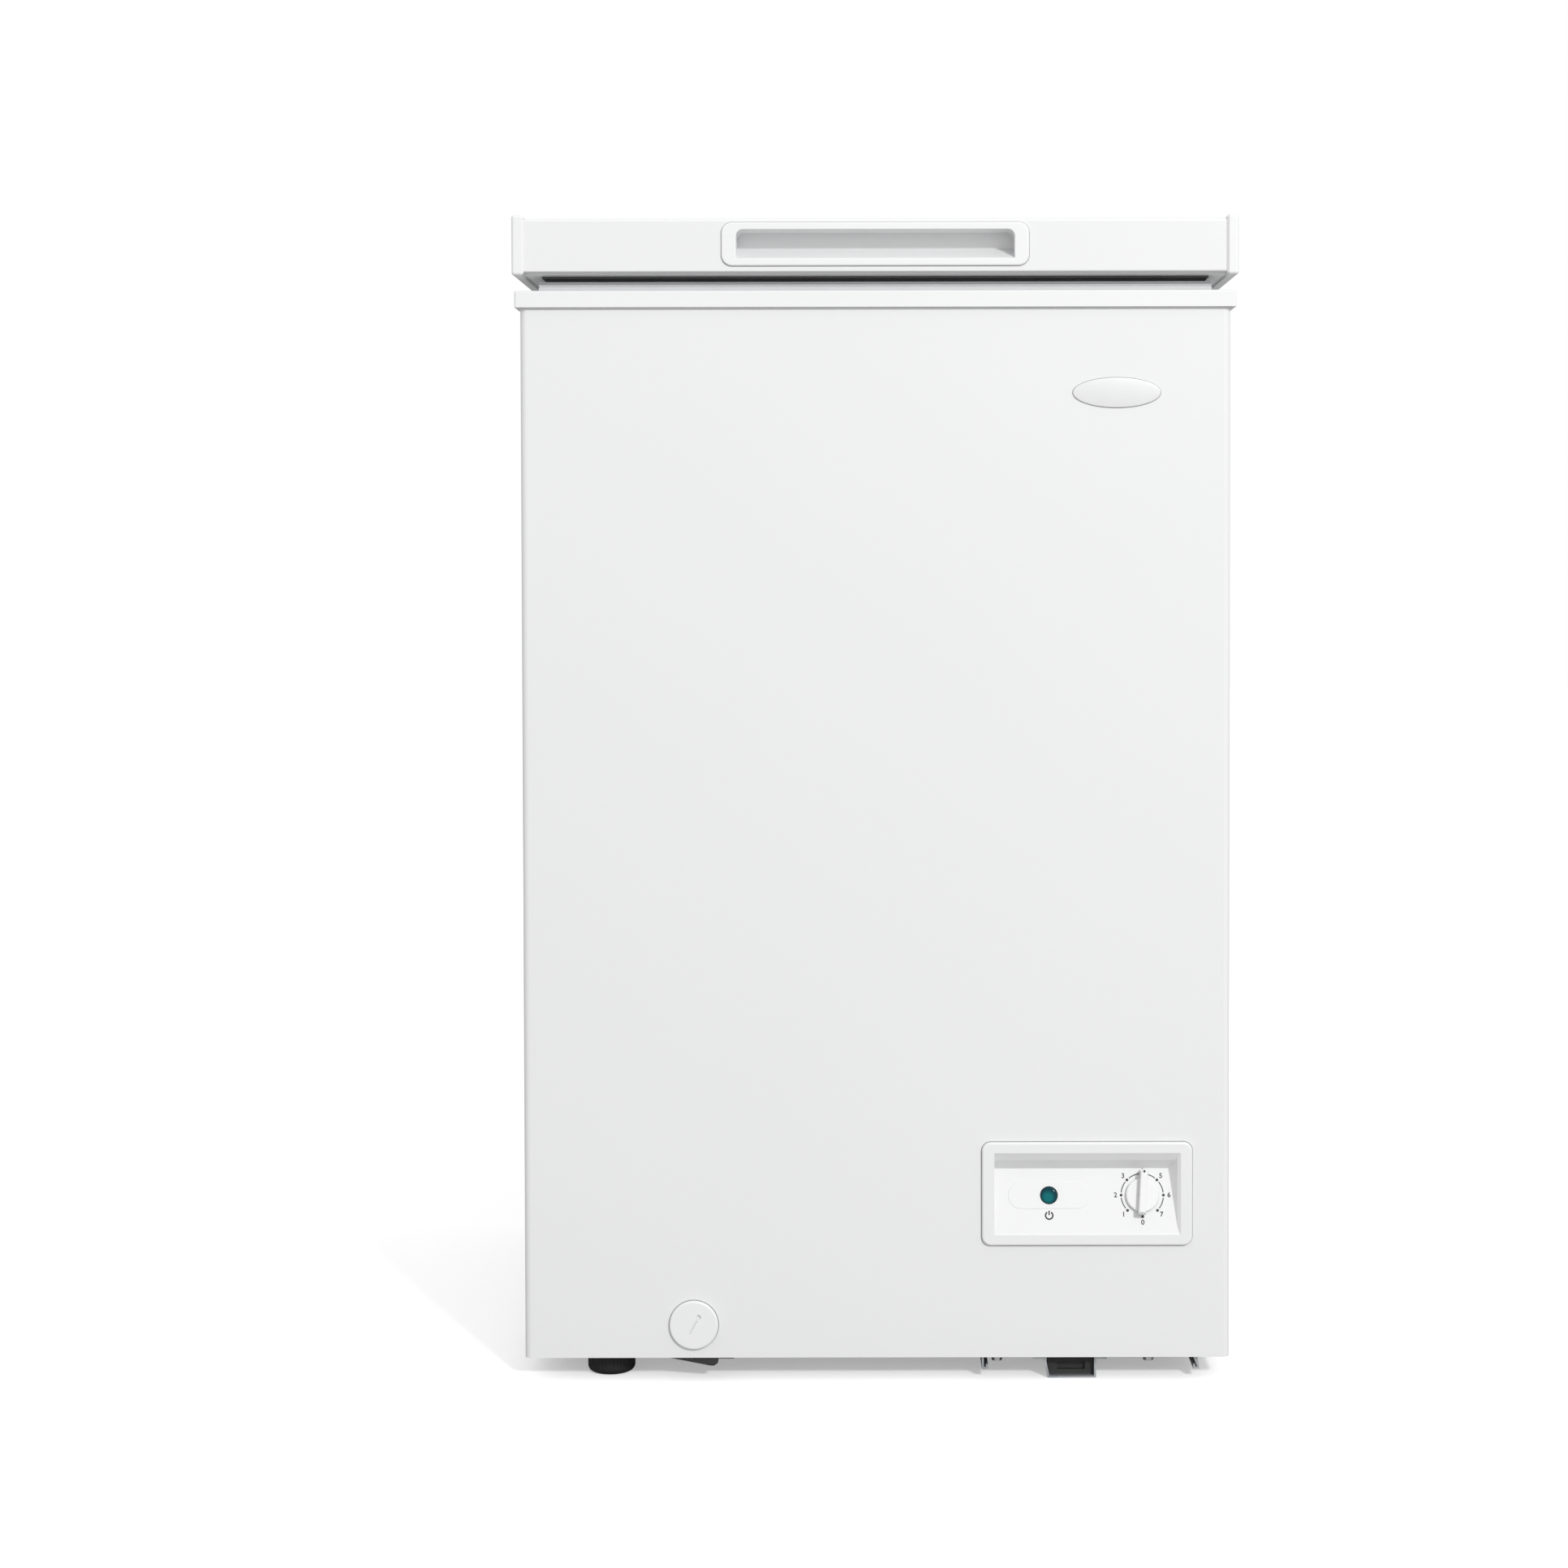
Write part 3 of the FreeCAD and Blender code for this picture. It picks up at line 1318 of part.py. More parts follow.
def refrigerant_lines():
    """Suction, discharge and charging lines, the drier and its capillary, evaporator and condenser."""
    top = "motor_low + motor_tall + 6"
    suction_x, suction_y = "motor_x + 44", "motor_y - 16"
    suction = solid_node(
        "suction_line",
        tube_shape(
            [
                (suction_x, suction_y, top),
                (suction_x, suction_y, f"{top} + 24"),
                ("228", "150", f"{top} + 24"),
                ("228", "150", "300"),
            ],
            4,
            10,
        ),
        node=False,
    )
    discharge = solid_node(
        "discharge_line",
        tube_shape(
            [
                ("motor_x - 44", "motor_y + 20", top),
                ("motor_x - 44", "motor_y + 20", f"{top} + 22"),
                ("90", "205", f"{top} + 22"),
                ("90", "205", "262"),
            ],
            2.5,
            8,
        ),
        node=False,
    )
    charging = solid_node(
        "charging_line",
        tube_shape(
            [
                ("motor_x + 44", "motor_y + 18", top),
                ("motor_x + 44", "motor_y + 18", f"{top} + 20"),
                ("motor_x + 44", "motor_y + 74", f"{top} + 20"),
            ],
            3,
            9,
        ),
        node=False,
    )
    group("compressor_lines", [suction, discharge, charging])
    drier = Piece("filter_drier").at("232", "40", "120")
    drier.turned(
        [
            ("0", "0"),
            ("2", "0"),
            ("3", "6"),
            ("9", "14"),
            ("9", "62"),
            ("3", "72"),
            ("1.6", "76"),
            ("0", "76"),
        ]
    )
    solid_node(
        "capillary_tube",
        tube_shape(
            [
                ("232", "40", "196.1"),
                ("232", "40", "212"),
                ("232", "60", "212"),
                ("232", "60", "262"),
            ],
            1.1,
            6,
        ),
    )
    evaporator_coil()
    condenser_coil()


def evaporator_coil():
    """Tube wound round the tub inside the foam, joined at its lower end to the suction line."""
    x = num("cab_width/2 - wall + sheet") + 4.3
    front = num("cab_front + wall - sheet") - 4.3
    back = num("cab_back - wall + sheet") + 4.3
    low, pitch, turns = 330, 55, 7
    points = [(228, 150, 300), (228, 150, low), (x, 150, low)]
    for turn in range(turns):
        z = low + turn * pitch
        quarter = pitch / 4
        points += [
            (x, back, z + quarter * 0.3),
            (-x, back, z + quarter),
            (-x, front, z + quarter * 2),
            (x, front, z + quarter * 3),
        ]
    points.append((x, 100, low + turns * pitch - 8))
    solid_node("evaporator_coil", tube_shape(points, 4, 12))


def condenser_coil():
    """Tube laid up and down behind each side sheet, which gives off the heat."""
    inside = num("cab_width/2 - sheet") - 2.7
    low, high, pitch = 270, 740, 60
    loops = []
    for side in (-1, 1):
        points = []
        y = -210
        at_bottom = True
        while y <= 210:
            first, last = (low, high) if at_bottom else (high, low)
            points += [(side * inside, y, first), (side * inside, y, last)]
            at_bottom = not at_bottom
            y += pitch
        loops.append(solid_node("condenser_side", tube_shape(points, 2.4, 14), node=False))
    group("condenser_coil", loops)


def thermostat_sensor_tube():
    """The thin tube from the thermostat up into the wall of the tub."""
    solid_node(
        "thermostat_sensor_tube",
        tube_shape(
            [
                ("210.6", "cab_front + 28", "131"),
                ("220", "cab_front + 28", "131"),
                ("220", "cab_front + 28", "420"),
            ],
            1.1,
            6,
        ),
    )


def wiring_harness():
    """The sleeved wires from the thermostat back to the compressor's relay."""
    solid_node(
        "wiring_harness",
        tube_shape(
            [
                ("knob_x", "cab_front + 44", "125.6"),
                ("knob_x", "cab_front + 90", "118"),
                ("168", "-60", "100"),
                ("motor_x", "motor_y - motor_radius - 45", "100"),
                ("motor_x", "motor_y - motor_radius - 27", "100"),
            ],
            3.2,
            10,
        ),
    )


# ---------------------------------------------------------------- back cover, cord gland and badge
def rear_vent_cover():
    """The slotted steel cover over the compressor bay's opening."""
    cover = Piece("rear_vent_cover")
    left, right = "bay_left + 8", "cab_width/2 - 5"
    cover.block((left, right), ("cab_back", "cab_back + 1"), ("cab_base + 9", "bay_top + 6"))
    cover.round("5", along("y", [left, right], None, ["cab_base + 9", "bay_top + 6"]))
    cover.block(
        (f"{left} + 14", f"{right} - 14"), ("cab_back + 1", "cab_back + 4"), ("cab_base + 42", "bay_top - 8")
    )
    cover.bevel("2.6", along("x", None, "cab_back + 4", ["cab_base + 42", "bay_top - 8"]))
    cover.block(
        (f"{left} + 15", f"{right} - 15"),
        ("cab_back - 1", "cab_back + 3"),
        ("cab_base + 46", "bay_top - 12"),
        cut=True,
    )
    middle = f"({left} + {right})/2"
    through, first_row = ("cab_back", "cab_back + 5"), ("cab_base + 54", "cab_base + 58")
    slots = [
        cover.block(span, through, first_row, cut=True)
        for span in ((f"{left} + 24", f"{middle} - 6"), (f"{middle} + 6", f"{right} - 24"))
    ]
    cover.row(slots, "Z", "bay_top - 24 - cab_base - 54", 12)
    cover.rod("y", (f"{left} + 24", "cab_base + 24"), "8", ("cab_back", "cab_back + 1"), cut=True)
    pieces = []
    for x in (f"{left} + 6", f"{right} - 6"):
        for z in ("cab_base + 36", "bay_top - 20"):
            cover.rod("y", (x, z), "2.1", ("cab_back", "cab_back + 1"), cut=True)
            pieces.append(screw("rear_cover_screw", "4", "2", "2", "8").at(x, "cab_back + 1", z, "back"))
    group("rear_cover_screws", pieces)
    gland = Piece("cord_gland").at(f"{left} + 24", "cab_back + 1", "cab_base + 24", "back")
    gland.rod("z", ("0", "0"), "11", ("0", "3"))
    gland.round("1.2", round_edge("11", "3"))
    gland.rod("z", ("0", "0"), "7.9", ("-6", "0"))
    gland.rod("z", ("0", "0"), "6", ("3", "7"))
    gland.rod("z", ("0", "0"), "3.6", ("-7", "8"), cut=True)


def badge():
    """A plain oval plate on the front, with nothing on it."""
    ellipse = DOC.addObject("Part::Ellipse", "badge_outline")
    bind(ellipse, "MajorRadius", "badge_half_width")
    bind(ellipse, "MinorRadius", "badge_half_height")
    ellipse.Placement.Rotation = FreeCAD.Rotation(FreeCAD.Vector(1, 0, 0), 90)
    bind(ellipse, "Placement.Base.x", "badge_x")
    bind(ellipse, "Placement.Base.y", "cab_front")
    bind(ellipse, "Placement.Base.z", "badge_z")
    plate = DOC.addObject("Part::Extrusion", "badge_plate")
    plate.Base = ellipse
    plate.DirMode = "Custom"
    plate.Dir = FreeCAD.Vector(0, -1, 0)
    plate.LengthFwd = 1.6
    plate.Solid = True
    DOC.recompute()
    rounded = DOC.addObject("Part::Fillet", "badge")
    rounded.Base = plate
    front = num("cab_front - 1.6")
    picks = [
        (i, 0.9, 0.9)
        for i, e in enumerate(plate.Shape.Edges, start=1)
        if abs(e.BoundBox.YMin - front) < NEAR and abs(e.BoundBox.YMax - front) < NEAR
    ]
    rounded.Edges = picks
    rounded.Label = "badge"
    NODES["badge"] = rounded


# ---------------------------------------------------------------- basket
def wire_basket():
    """The hanging basket: a welded grid of bars, with a loop at each end that hangs over the collar."""
    left, right = num("basket_left"), num("basket_left + basket_width")
    front, back = num("basket_front"), num("basket_back")
    low, high, bar = num("basket_low"), num("basket_high"), num("basket_bar")
    bars = []

    def add(x, y, z):
        size = [b - a for a, b in (x, y, z)]
        bars.append(Part.makeBox(*size, FreeCAD.Vector(x[0], y[0], z[0])))

    for z in (high - bar, (low + high) / 2, low):
        for y in (front, back - bar):
            add((left, right), (y, y + bar), (z, z + bar))
        for x in (left, right - bar):
            add((x, x + bar), (front, back), (z, z + bar))
    across, lengthways = 10, 5
    for i in range(across):
        y = front + 29 + i * (back - front - 58 - bar) / (across - 1)
        add((left, right), (y, y + bar), (low, low + bar))
        for x in (left, right - bar):
            add((x, x + bar), (y, y + bar), (low, high))
    for i in range(lengthways):
        x = left + 26 + i * (right - left - 52 - bar) / (lengthways - 1)
        add((x, x + bar), (front, back), (low, low + bar))
        for y in (front, back - bar):
            add((x, x + bar), (y, y + bar), (low, high))
    middle = (left + right) / 2
    hook = num("collar_high") + 0.3
    for rim, away in ((front, -1), (back, 1)):
        upright = sorted((rim + away * 4.4, rim + away * 7.4))
        out = rim + away * 30
        for x in (middle - 50, middle + 50 - bar):
            add((x, x + bar), sorted((rim - away * bar, upright[away > 0])), (high - bar, high))
            add((x, x + bar), upright, (high - bar, hook + bar))
            add((x, x + bar), sorted((upright[away < 0], out)), (hook, hook + bar))
        add((middle - 50, middle + 50), sorted((out, out - away * bar)), (hook, hook + bar))
    solid_node("wire_basket", bars[0].multiFuse(bars[1:]).removeSplitter())


# ---------------------------------------------------------------- build, check, write
def build():
    fill_sheet()
    cabinet_wrapper()
    back_panel()
    bottom_panel()
    cabinet_insulation()
    inner_liner()
    top_collar()
    lid_outer_panel()
    for side in (-1, 1):
        lid_end_cap(side)
    lid_insulation()
    lid_inner_liner()
    lid_gasket()
    lid_handle()
    group("hinge_pins", [hinge_pin(-1), hinge_pin(1)])
    for side in (-1, 1):
        hinge_base(side)
        hinge_arm(side)
        hinge_plunger(side)
        hinge_spring(side)
    hinge_screws()
    control_bezel()
    thermostat_knob()
    thermostat_body()
    pilot_lamp()
    drain_parts()
    levelling_foot("levelling_foot_front", "foot_front")
    levelling_foot("levelling_foot_rear", "foot_rear")
    foot_nuts()
    base_plate()
    base_plate_bolts()
    support_brackets()
    underside_clip()
    compressor()
    compressor_grommets()
    relay_cover()
    refrigerant_lines()
    thermostat_sensor_tube()
    wiring_harness()
    rear_vent_cover()
    badge()
    wire_basket()
    DOC.recompute()


def check():
    for obj in DOC.Objects:
        if {"Invalid", "Error"} & set(obj.State):
            raise RuntimeError(f"{obj.Label} ({obj.Name}) failed: {obj.State}")
    for label, obj in NODES.items():
        if obj.Shape.isNull() or not obj.Shape.isValid() or not obj.Shape.Solids:
            raise RuntimeError(f"{label} has no valid solid")


def write():
    os.makedirs("parts", exist_ok=True)
    for label, obj in sorted(NODES.items()):
        obj.Shape.exportStep(f"parts/{label}.step")
        box = obj.Shape.BoundBox
        spans = ((box.XMin, box.XMax), (box.YMin, box.YMax), (box.ZMin, box.ZMax))
        place = "  ".join(f"{axis} {low:.1f}..{high:.1f}" for axis, (low, high) in zip("xyz", spans))
        print(f"{label:26s} {len(obj.Shape.Solids):3d} solids  {obj.Shape.Volume:12.1f} mm3  {place}")
    print(len(NODES), "nodes")


build()
check()
write()
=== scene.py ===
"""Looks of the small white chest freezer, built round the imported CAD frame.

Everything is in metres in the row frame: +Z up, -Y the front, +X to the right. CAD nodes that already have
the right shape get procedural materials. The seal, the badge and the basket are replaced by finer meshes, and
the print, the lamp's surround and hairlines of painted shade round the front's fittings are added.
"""

import json
import math

import bmesh
import bpy
from mathutils import Matrix, Vector


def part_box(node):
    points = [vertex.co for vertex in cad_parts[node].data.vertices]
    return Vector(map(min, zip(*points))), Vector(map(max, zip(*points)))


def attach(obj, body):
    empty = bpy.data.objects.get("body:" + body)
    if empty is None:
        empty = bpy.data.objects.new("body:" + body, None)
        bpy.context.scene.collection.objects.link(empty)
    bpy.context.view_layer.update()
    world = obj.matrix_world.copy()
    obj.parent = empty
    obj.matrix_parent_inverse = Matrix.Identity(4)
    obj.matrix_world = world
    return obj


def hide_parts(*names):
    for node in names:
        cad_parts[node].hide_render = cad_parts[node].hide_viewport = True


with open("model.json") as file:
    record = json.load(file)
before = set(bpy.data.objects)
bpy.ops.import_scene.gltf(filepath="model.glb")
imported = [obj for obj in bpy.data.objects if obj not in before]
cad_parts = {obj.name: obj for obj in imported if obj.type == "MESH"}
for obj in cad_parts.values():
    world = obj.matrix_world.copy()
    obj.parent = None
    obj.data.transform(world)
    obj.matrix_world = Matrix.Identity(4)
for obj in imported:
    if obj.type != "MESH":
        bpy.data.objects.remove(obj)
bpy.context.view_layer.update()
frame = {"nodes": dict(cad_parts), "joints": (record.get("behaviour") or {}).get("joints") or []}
nodes = frame["nodes"]
MM = 0.001


# ---------------------------------------------------------------- material building
class Nodes:
    """A small helper to write a material's node tree in a few lines."""

    def __init__(self, name):
        self.mat = bpy.data.materials.new(name)
        self.mat.use_nodes = True
        self.tree = self.mat.node_tree
        self.shader = self.tree.nodes["Principled BSDF"]
        self.place = self.tree.nodes.new("ShaderNodeTexCoord").outputs["Object"]

    def new(self, kind, **inputs):
        node = self.tree.nodes.new(kind)
        for key, value in inputs.items():
            node.inputs[key.replace("_", " ")].default_value = value
        return node

    def link(self, source, target):
        self.tree.links.new(source, target)

    def noise(self, scale, detail=2.0, stretch=None, rough=0.5):
        node = self.new("ShaderNodeTexNoise", Scale=scale, Detail=detail, Roughness=rough)
        self.link(self.stretched(stretch), node.inputs["Vector"])
        return node.outputs["Fac"]

    def cells(self, scale, feature="F1", output="Distance"):
        node = self.new("ShaderNodeTexVoronoi", Scale=scale)
        node.feature = feature
        self.link(self.place, node.inputs["Vector"])
        return node.outputs[output]

    def stretched(self, stretch):
        if stretch is None:
            return self.place
        node = self.tree.nodes.new("ShaderNodeMapping")
        node.inputs["Scale"].default_value = stretch
        self.link(self.place, node.inputs["Vector"])
        return node.outputs["Vector"]

    def ramp(self, source, low, high):
        """Maps 0..1 onto a range of numbers."""
        node = self.new("ShaderNodeMapRange")
        node.inputs["To Min"].default_value = low
        node.inputs["To Max"].default_value = high
        self.link(source, node.inputs["Value"])
        return node.outputs["Result"]

    def contrast(self, source, start, end):
        node = self.new("ShaderNodeMapRange")
        node.inputs["From Min"].default_value = start
        node.inputs["From Max"].default_value = end
        self.link(source, node.inputs["Value"])
        return node.outputs["Result"]

    def blend(self, factor, first, second):
        node = self.tree.nodes.new("ShaderNodeMix")
        node.data_type = "RGBA"
        for socket, value in ((node.inputs[6], first), (node.inputs[7], second)):
            if isinstance(value, tuple):
                socket.default_value = (*value, 1.0)
            else:
                self.link(value, socket)
        self.link(factor, node.inputs[0])
        return node.outputs[2]

    def bump(self, *layers):
        """Layers of (height source, strength, distance in metres), one on top of another."""
        normal = None
        for source, strength, distance in layers:
            node = self.new("ShaderNodeBump", Strength=strength, Distance=distance)
            self.link(source, node.inputs["Height"])
            if normal is not None:
                self.link(normal, node.inputs["Normal"])
            normal = node.outputs["Normal"]
        self.link(normal, self.shader.inputs["Normal"])

    def colour(self, source):
        self.link(source, self.shader.inputs["Base Color"])

    def roughness(self, source):
        self.link(source, self.shader.inputs["Roughness"])

    def set(self, **values):
        for key, value in values.items():
            self.shader.inputs[key.replace("_", " ")].default_value = value
        return self


def enamel():
    """Smooth baked enamel on sheet steel: a faint orange peel and hardly any change of tone."""
    m = Nodes("enamel").set(Coat_Weight=0.25, Coat_Roughness=0.12)
    m.colour(m.blend(m.noise(2.2, 3.0), (0.800, 0.803, 0.808), (0.822, 0.824, 0.828)))
    m.roughness(m.ramp(m.noise(9.0, 4.0), 0.30, 0.40))
    m.bump((m.noise(420.0, 1.0), 0.045, 0.0002), (m.noise(5.0, 1.0), 0.05, 0.002))
    return m.mat


def moulded(name, light, dark, rough, grain=1400.0, strength=0.05):
    """Injection-moulded plastic with a fine spark-eroded grain and a slight flow mottle."""
    m = Nodes(name)
    m.colour(m.blend(m.noise(14.0, 3.0), dark, light))
    m.roughness(m.ramp(m.noise(60.0, 3.0), rough - 0.04, rough + 0.05))
    m.bump((m.noise(grain, 2.0), strength, 0.0001), (m.noise(24.0, 1.0), 0.03, 0.0008))
    return m.mat


def rubber(name, light, dark, rough=0.6):
    m = Nodes(name)
    m.colour(m.blend(m.noise(40.0, 4.0), dark, light))
    m.roughness(m.ramp(m.noise(120.0, 3.0), rough - 0.08, rough + 0.1))
    m.bump((m.noise(2200.0, 2.0), 0.12, 0.0001), (m.noise(180.0, 2.0), 0.08, 0.0003))
    return m.mat


def stucco_aluminium():
    """The tub's embossed aluminium: small raised lumps with a lacquer over them."""
    m = Nodes("stucco_aluminium").set(Metallic=0.75, Coat_Weight=0.2, Coat_Roughness=0.2)
    m.colour(m.blend(m.noise(6.0, 3.0), (0.76, 0.77, 0.78), (0.84, 0.85, 0.86)))
    m.roughness(m.ramp(m.noise(30.0, 3.0), 0.30, 0.42))
    lumps = m.contrast(m.cells(135.0, "SMOOTH_F1"), 0.15, 0.75)
    m.bump((lumps, 0.45, 0.0009), (m.noise(320.0, 2.0), 0.2, 0.0003))
    return m.mat


def galvanised():
    """Zinc-coated sheet with its spangle and a little dulling."""
    m = Nodes("galvanised").set(Metallic=0.85)
    spangle = m.cells(85.0, output="Color")
    grey = m.new("ShaderNodeRGBToBW")
    m.link(spangle, grey.inputs[0])
    tone = m.blend(grey.outputs[0], (0.50, 0.52, 0.54), (0.68, 0.69, 0.71))
    m.colour(m.blend(m.ramp(m.noise(8.0, 5.0), 0.0, 0.5), tone, (0.42, 0.43, 0.44)))
    m.roughness(m.ramp(grey.outputs[0], 0.34, 0.52))
    m.bump((grey.outputs[0], 0.08, 0.0002), (m.noise(260.0, 3.0), 0.06, 0.0002))
    return m.mat


def coated_back():
    """The back's light grey coil-coated sheet, a little dusty in patches."""
    m = Nodes("coated_back")
    base = m.blend(m.noise(3.0, 4.0), (0.60, 0.61, 0.62), (0.66, 0.67, 0.68))
    m.colour(m.blend(m.ramp(m.noise(26.0, 5.0), 0.0, 0.22), base, (0.50, 0.50, 0.49)))
    m.roughness(m.ramp(m.noise(18.0, 4.0), 0.38, 0.52))
    m.bump((m.noise(500.0, 1.0), 0.06, 0.0002), (m.noise(7.0, 1.0), 0.08, 0.002))
    return m.mat


def plated(name, light, dark, rough):
    """Zinc plate on pressed or turned steel: drawn streaks and small dull spots."""
    m = Nodes(name).set(Metallic=1.0)
    streaks = m.noise(90.0, 4.0, (1.0, 1.0, 9.0))
    m.colour(m.blend(streaks, dark, light))
    m.roughness(m.ramp(m.noise(220.0, 3.0), rough - 0.06, rough + 0.12))
    m.bump((m.noise(700.0, 2.0, (1.0, 1.0, 5.0)), 0.08, 0.0001))
    return m.mat


def copper():
    """Drawn copper tube, browned in patches."""
    m = Nodes("copper").set(Metallic=1.0)
    fresh = m.blend(m.noise(120.0, 3.0), (0.72, 0.40, 0.26), (0.82, 0.50, 0.34))
    m.colour(m.blend(m.contrast(m.noise(38.0, 5.0), 0.48, 0.7), fresh, (0.34, 0.19, 0.13)))
    m.roughness(m.ramp(m.noise(45.0, 4.0), 0.24, 0.5))
    m.bump((m.noise(900.0, 2.0), 0.08, 0.0001))
    return m.mat


def black_paint():
    """Thick dipped black paint, with orange peel and dust."""
    m = Nodes("black_paint").set(Coat_Weight=0.4, Coat_Roughness=0.15)
    m.colour(m.blend(m.ramp(m.noise(30.0, 5.0), 0.0, 0.35), (0.012, 0.012, 0.013), (0.075, 0.072, 0.068)))
    m.roughness(m.ramp(m.noise(55.0, 3.0), 0.28, 0.5))
    m.bump((m.noise(330.0, 2.0), 0.12, 0.0004))
    return m.mat


def foamed():
    m = Nodes("foamed")
    m.colour(m.blend(m.noise(60.0, 6.0), (0.78, 0.68, 0.42), (0.88, 0.80, 0.56)))
    m.roughness(m.ramp(m.noise(90.0, 3.0), 0.8, 0.95))
    m.bump((m.cells(500.0), 0.4, 0.0008), (m.noise(40.0, 4.0), 0.3, 0.003))
    return m.mat


def lamp_green(centre):
    """The unlit lamp's blue-green lens, with painted light and shade: brighter low and a little left of the
    middle, dark towards its upper rim.
    """
    m = Nodes("lamp_green").set(Coat_Weight=0.1, Coat_Roughness=0.05, IOR=1.35)
    m.set(Specular_IOR_Level=0.3)
    shift = m.tree.nodes.new("ShaderNodeVectorMath")
    shift.operation = "DISTANCE"
    m.link(m.place, shift.inputs[0])
    shift.inputs[1].default_value = centre
    # painted shade: beyond 2.6 mm from the low centre the lens darkens to a dark rim, mostly round its top
    rim = m.new("ShaderNodeMapRange")
    rim.inputs["From Min"].default_value = 2.6 * MM
    rim.inputs["From Max"].default_value = 5.6 * MM
    m.link(shift.outputs["Value"], rim.inputs["Value"])
    # painted light: the brighter teal round the low centre
    inner = m.blend(m.noise(500.0, 2.0), (0.000, 0.110, 0.120), (0.001, 0.170, 0.180))
    m.colour(m.blend(rim.outputs["Result"], inner, (0.000, 0.040, 0.056)))
    m.roughness(m.ramp(m.noise(300.0, 2.0), 0.06, 0.12))
    m.bump((m.noise(260.0, 1.0), 0.05, 0.0003))
    return m.mat


def printed():
    m = Nodes("printed_black")
    m.colour(m.blend(m.noise(2500.0, 2.0), (0.012, 0.012, 0.014), (0.035, 0.035, 0.038)))
    m.roughness(m.ramp(m.noise(900.0, 2.0), 0.42, 0.6))
    m.bump((m.noise(2500.0, 2.0), 0.1, 0.00005))
    return m.mat


def vinyl():
    """White vinyl dipped over wire."""
    m = Nodes("vinyl").set(Coat_Weight=0.3, Coat_Roughness=0.2)
    m.colour(m.blend(m.noise(30.0, 3.0), (0.78, 0.785, 0.79), (0.83, 0.832, 0.836)))
    m.roughness(m.ramp(m.noise(150.0, 3.0), 0.30, 0.42))
    m.bump((m.noise(240.0, 2.0), 0.12, 0.0004))
    return m.mat


def silvered():
    """The badge's satin white face with a trace of pearl."""
    m = Nodes("silvered").set(Metallic=0.12, Coat_Weight=0.6, Coat_Roughness=0.08)
    m.colour(m.blend(m.noise(45.0, 3.0), (0.770, 0.772, 0.778), (0.812, 0.814, 0.818)))
    m.roughness(m.ramp(m.noise(70.0, 3.0), 0.26, 0.36))
    m.bump((m.noise(1200.0, 1.0), 0.03, 0.0001))
    return m.mat


ENAMEL = enamel()
WHITE = moulded("moulded_white", (0.845, 0.847, 0.850), (0.825, 0.828, 0.832), 0.34)
PANEL_WHITE = moulded("panel_white", (0.832, 0.834, 0.836), (0.816, 0.818, 0.820), 0.36)
LINER_WHITE = moulded("vacuum_formed_white", (0.83, 0.83, 0.83), (0.80, 0.80, 0.802), 0.30, 300.0, 0.08)
NYLON = moulded("nylon", (0.74, 0.72, 0.66), (0.68, 0.66, 0.60), 0.45)
BLACK = moulded("moulded_black", (0.010, 0.010, 0.011), (0.005, 0.005, 0.006), 0.60, 900.0, 0.15)
SEAL = rubber("seal_rubber", (0.66, 0.67, 0.68), (0.60, 0.61, 0.62), 0.5)
# painted shade: the seal's neck is near black to stand in for the shade in the gap under the lid's edge
SEAL_NECK_SHADE = rubber("seal_neck_painted_shade", (0.10, 0.10, 0.105), (0.07, 0.07, 0.074), 0.6)
# painted shade: mid grey for the hairlines round the front's fittings, standing in for the shade in their gaps
PAINTED_SEAM_SHADE = rubber("seam_shade", (0.34, 0.34, 0.35), (0.28, 0.28, 0.29), 0.7)
BLACK_RUBBER = rubber("black_rubber", (0.030, 0.030, 0.030), (0.016, 0.016, 0.016))
STUCCO = stucco_aluminium()
ZINC_SHEET = galvanised()
BACK = coated_back()
ZINC = plated("zinc_plate", (0.74, 0.74, 0.73), (0.60, 0.60, 0.60), 0.30)
SPRING = plated("spring_steel", (0.50, 0.50, 0.52), (0.34, 0.34, 0.36), 0.28)
COPPER = copper()
BLACK_PAINT = black_paint()
FOAM = foamed()
PRINT = printed()
VINYL = vinyl()
SILVERED = silvered()

LENS_LOW, LENS_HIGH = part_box("pilot_lamp_lens")
LENS_CENTRE = (Vector(LENS_LOW) + Vector(LENS_HIGH)) / 2
# the centre of the lens's painted light sits 0.8 mm left of its middle and a little low
LENS = lamp_green((LENS_CENTRE.x - 0.8 * MM, LENS_LOW[1] + 1.6 * MM, LENS_HIGH[2] - 7.3 * MM))

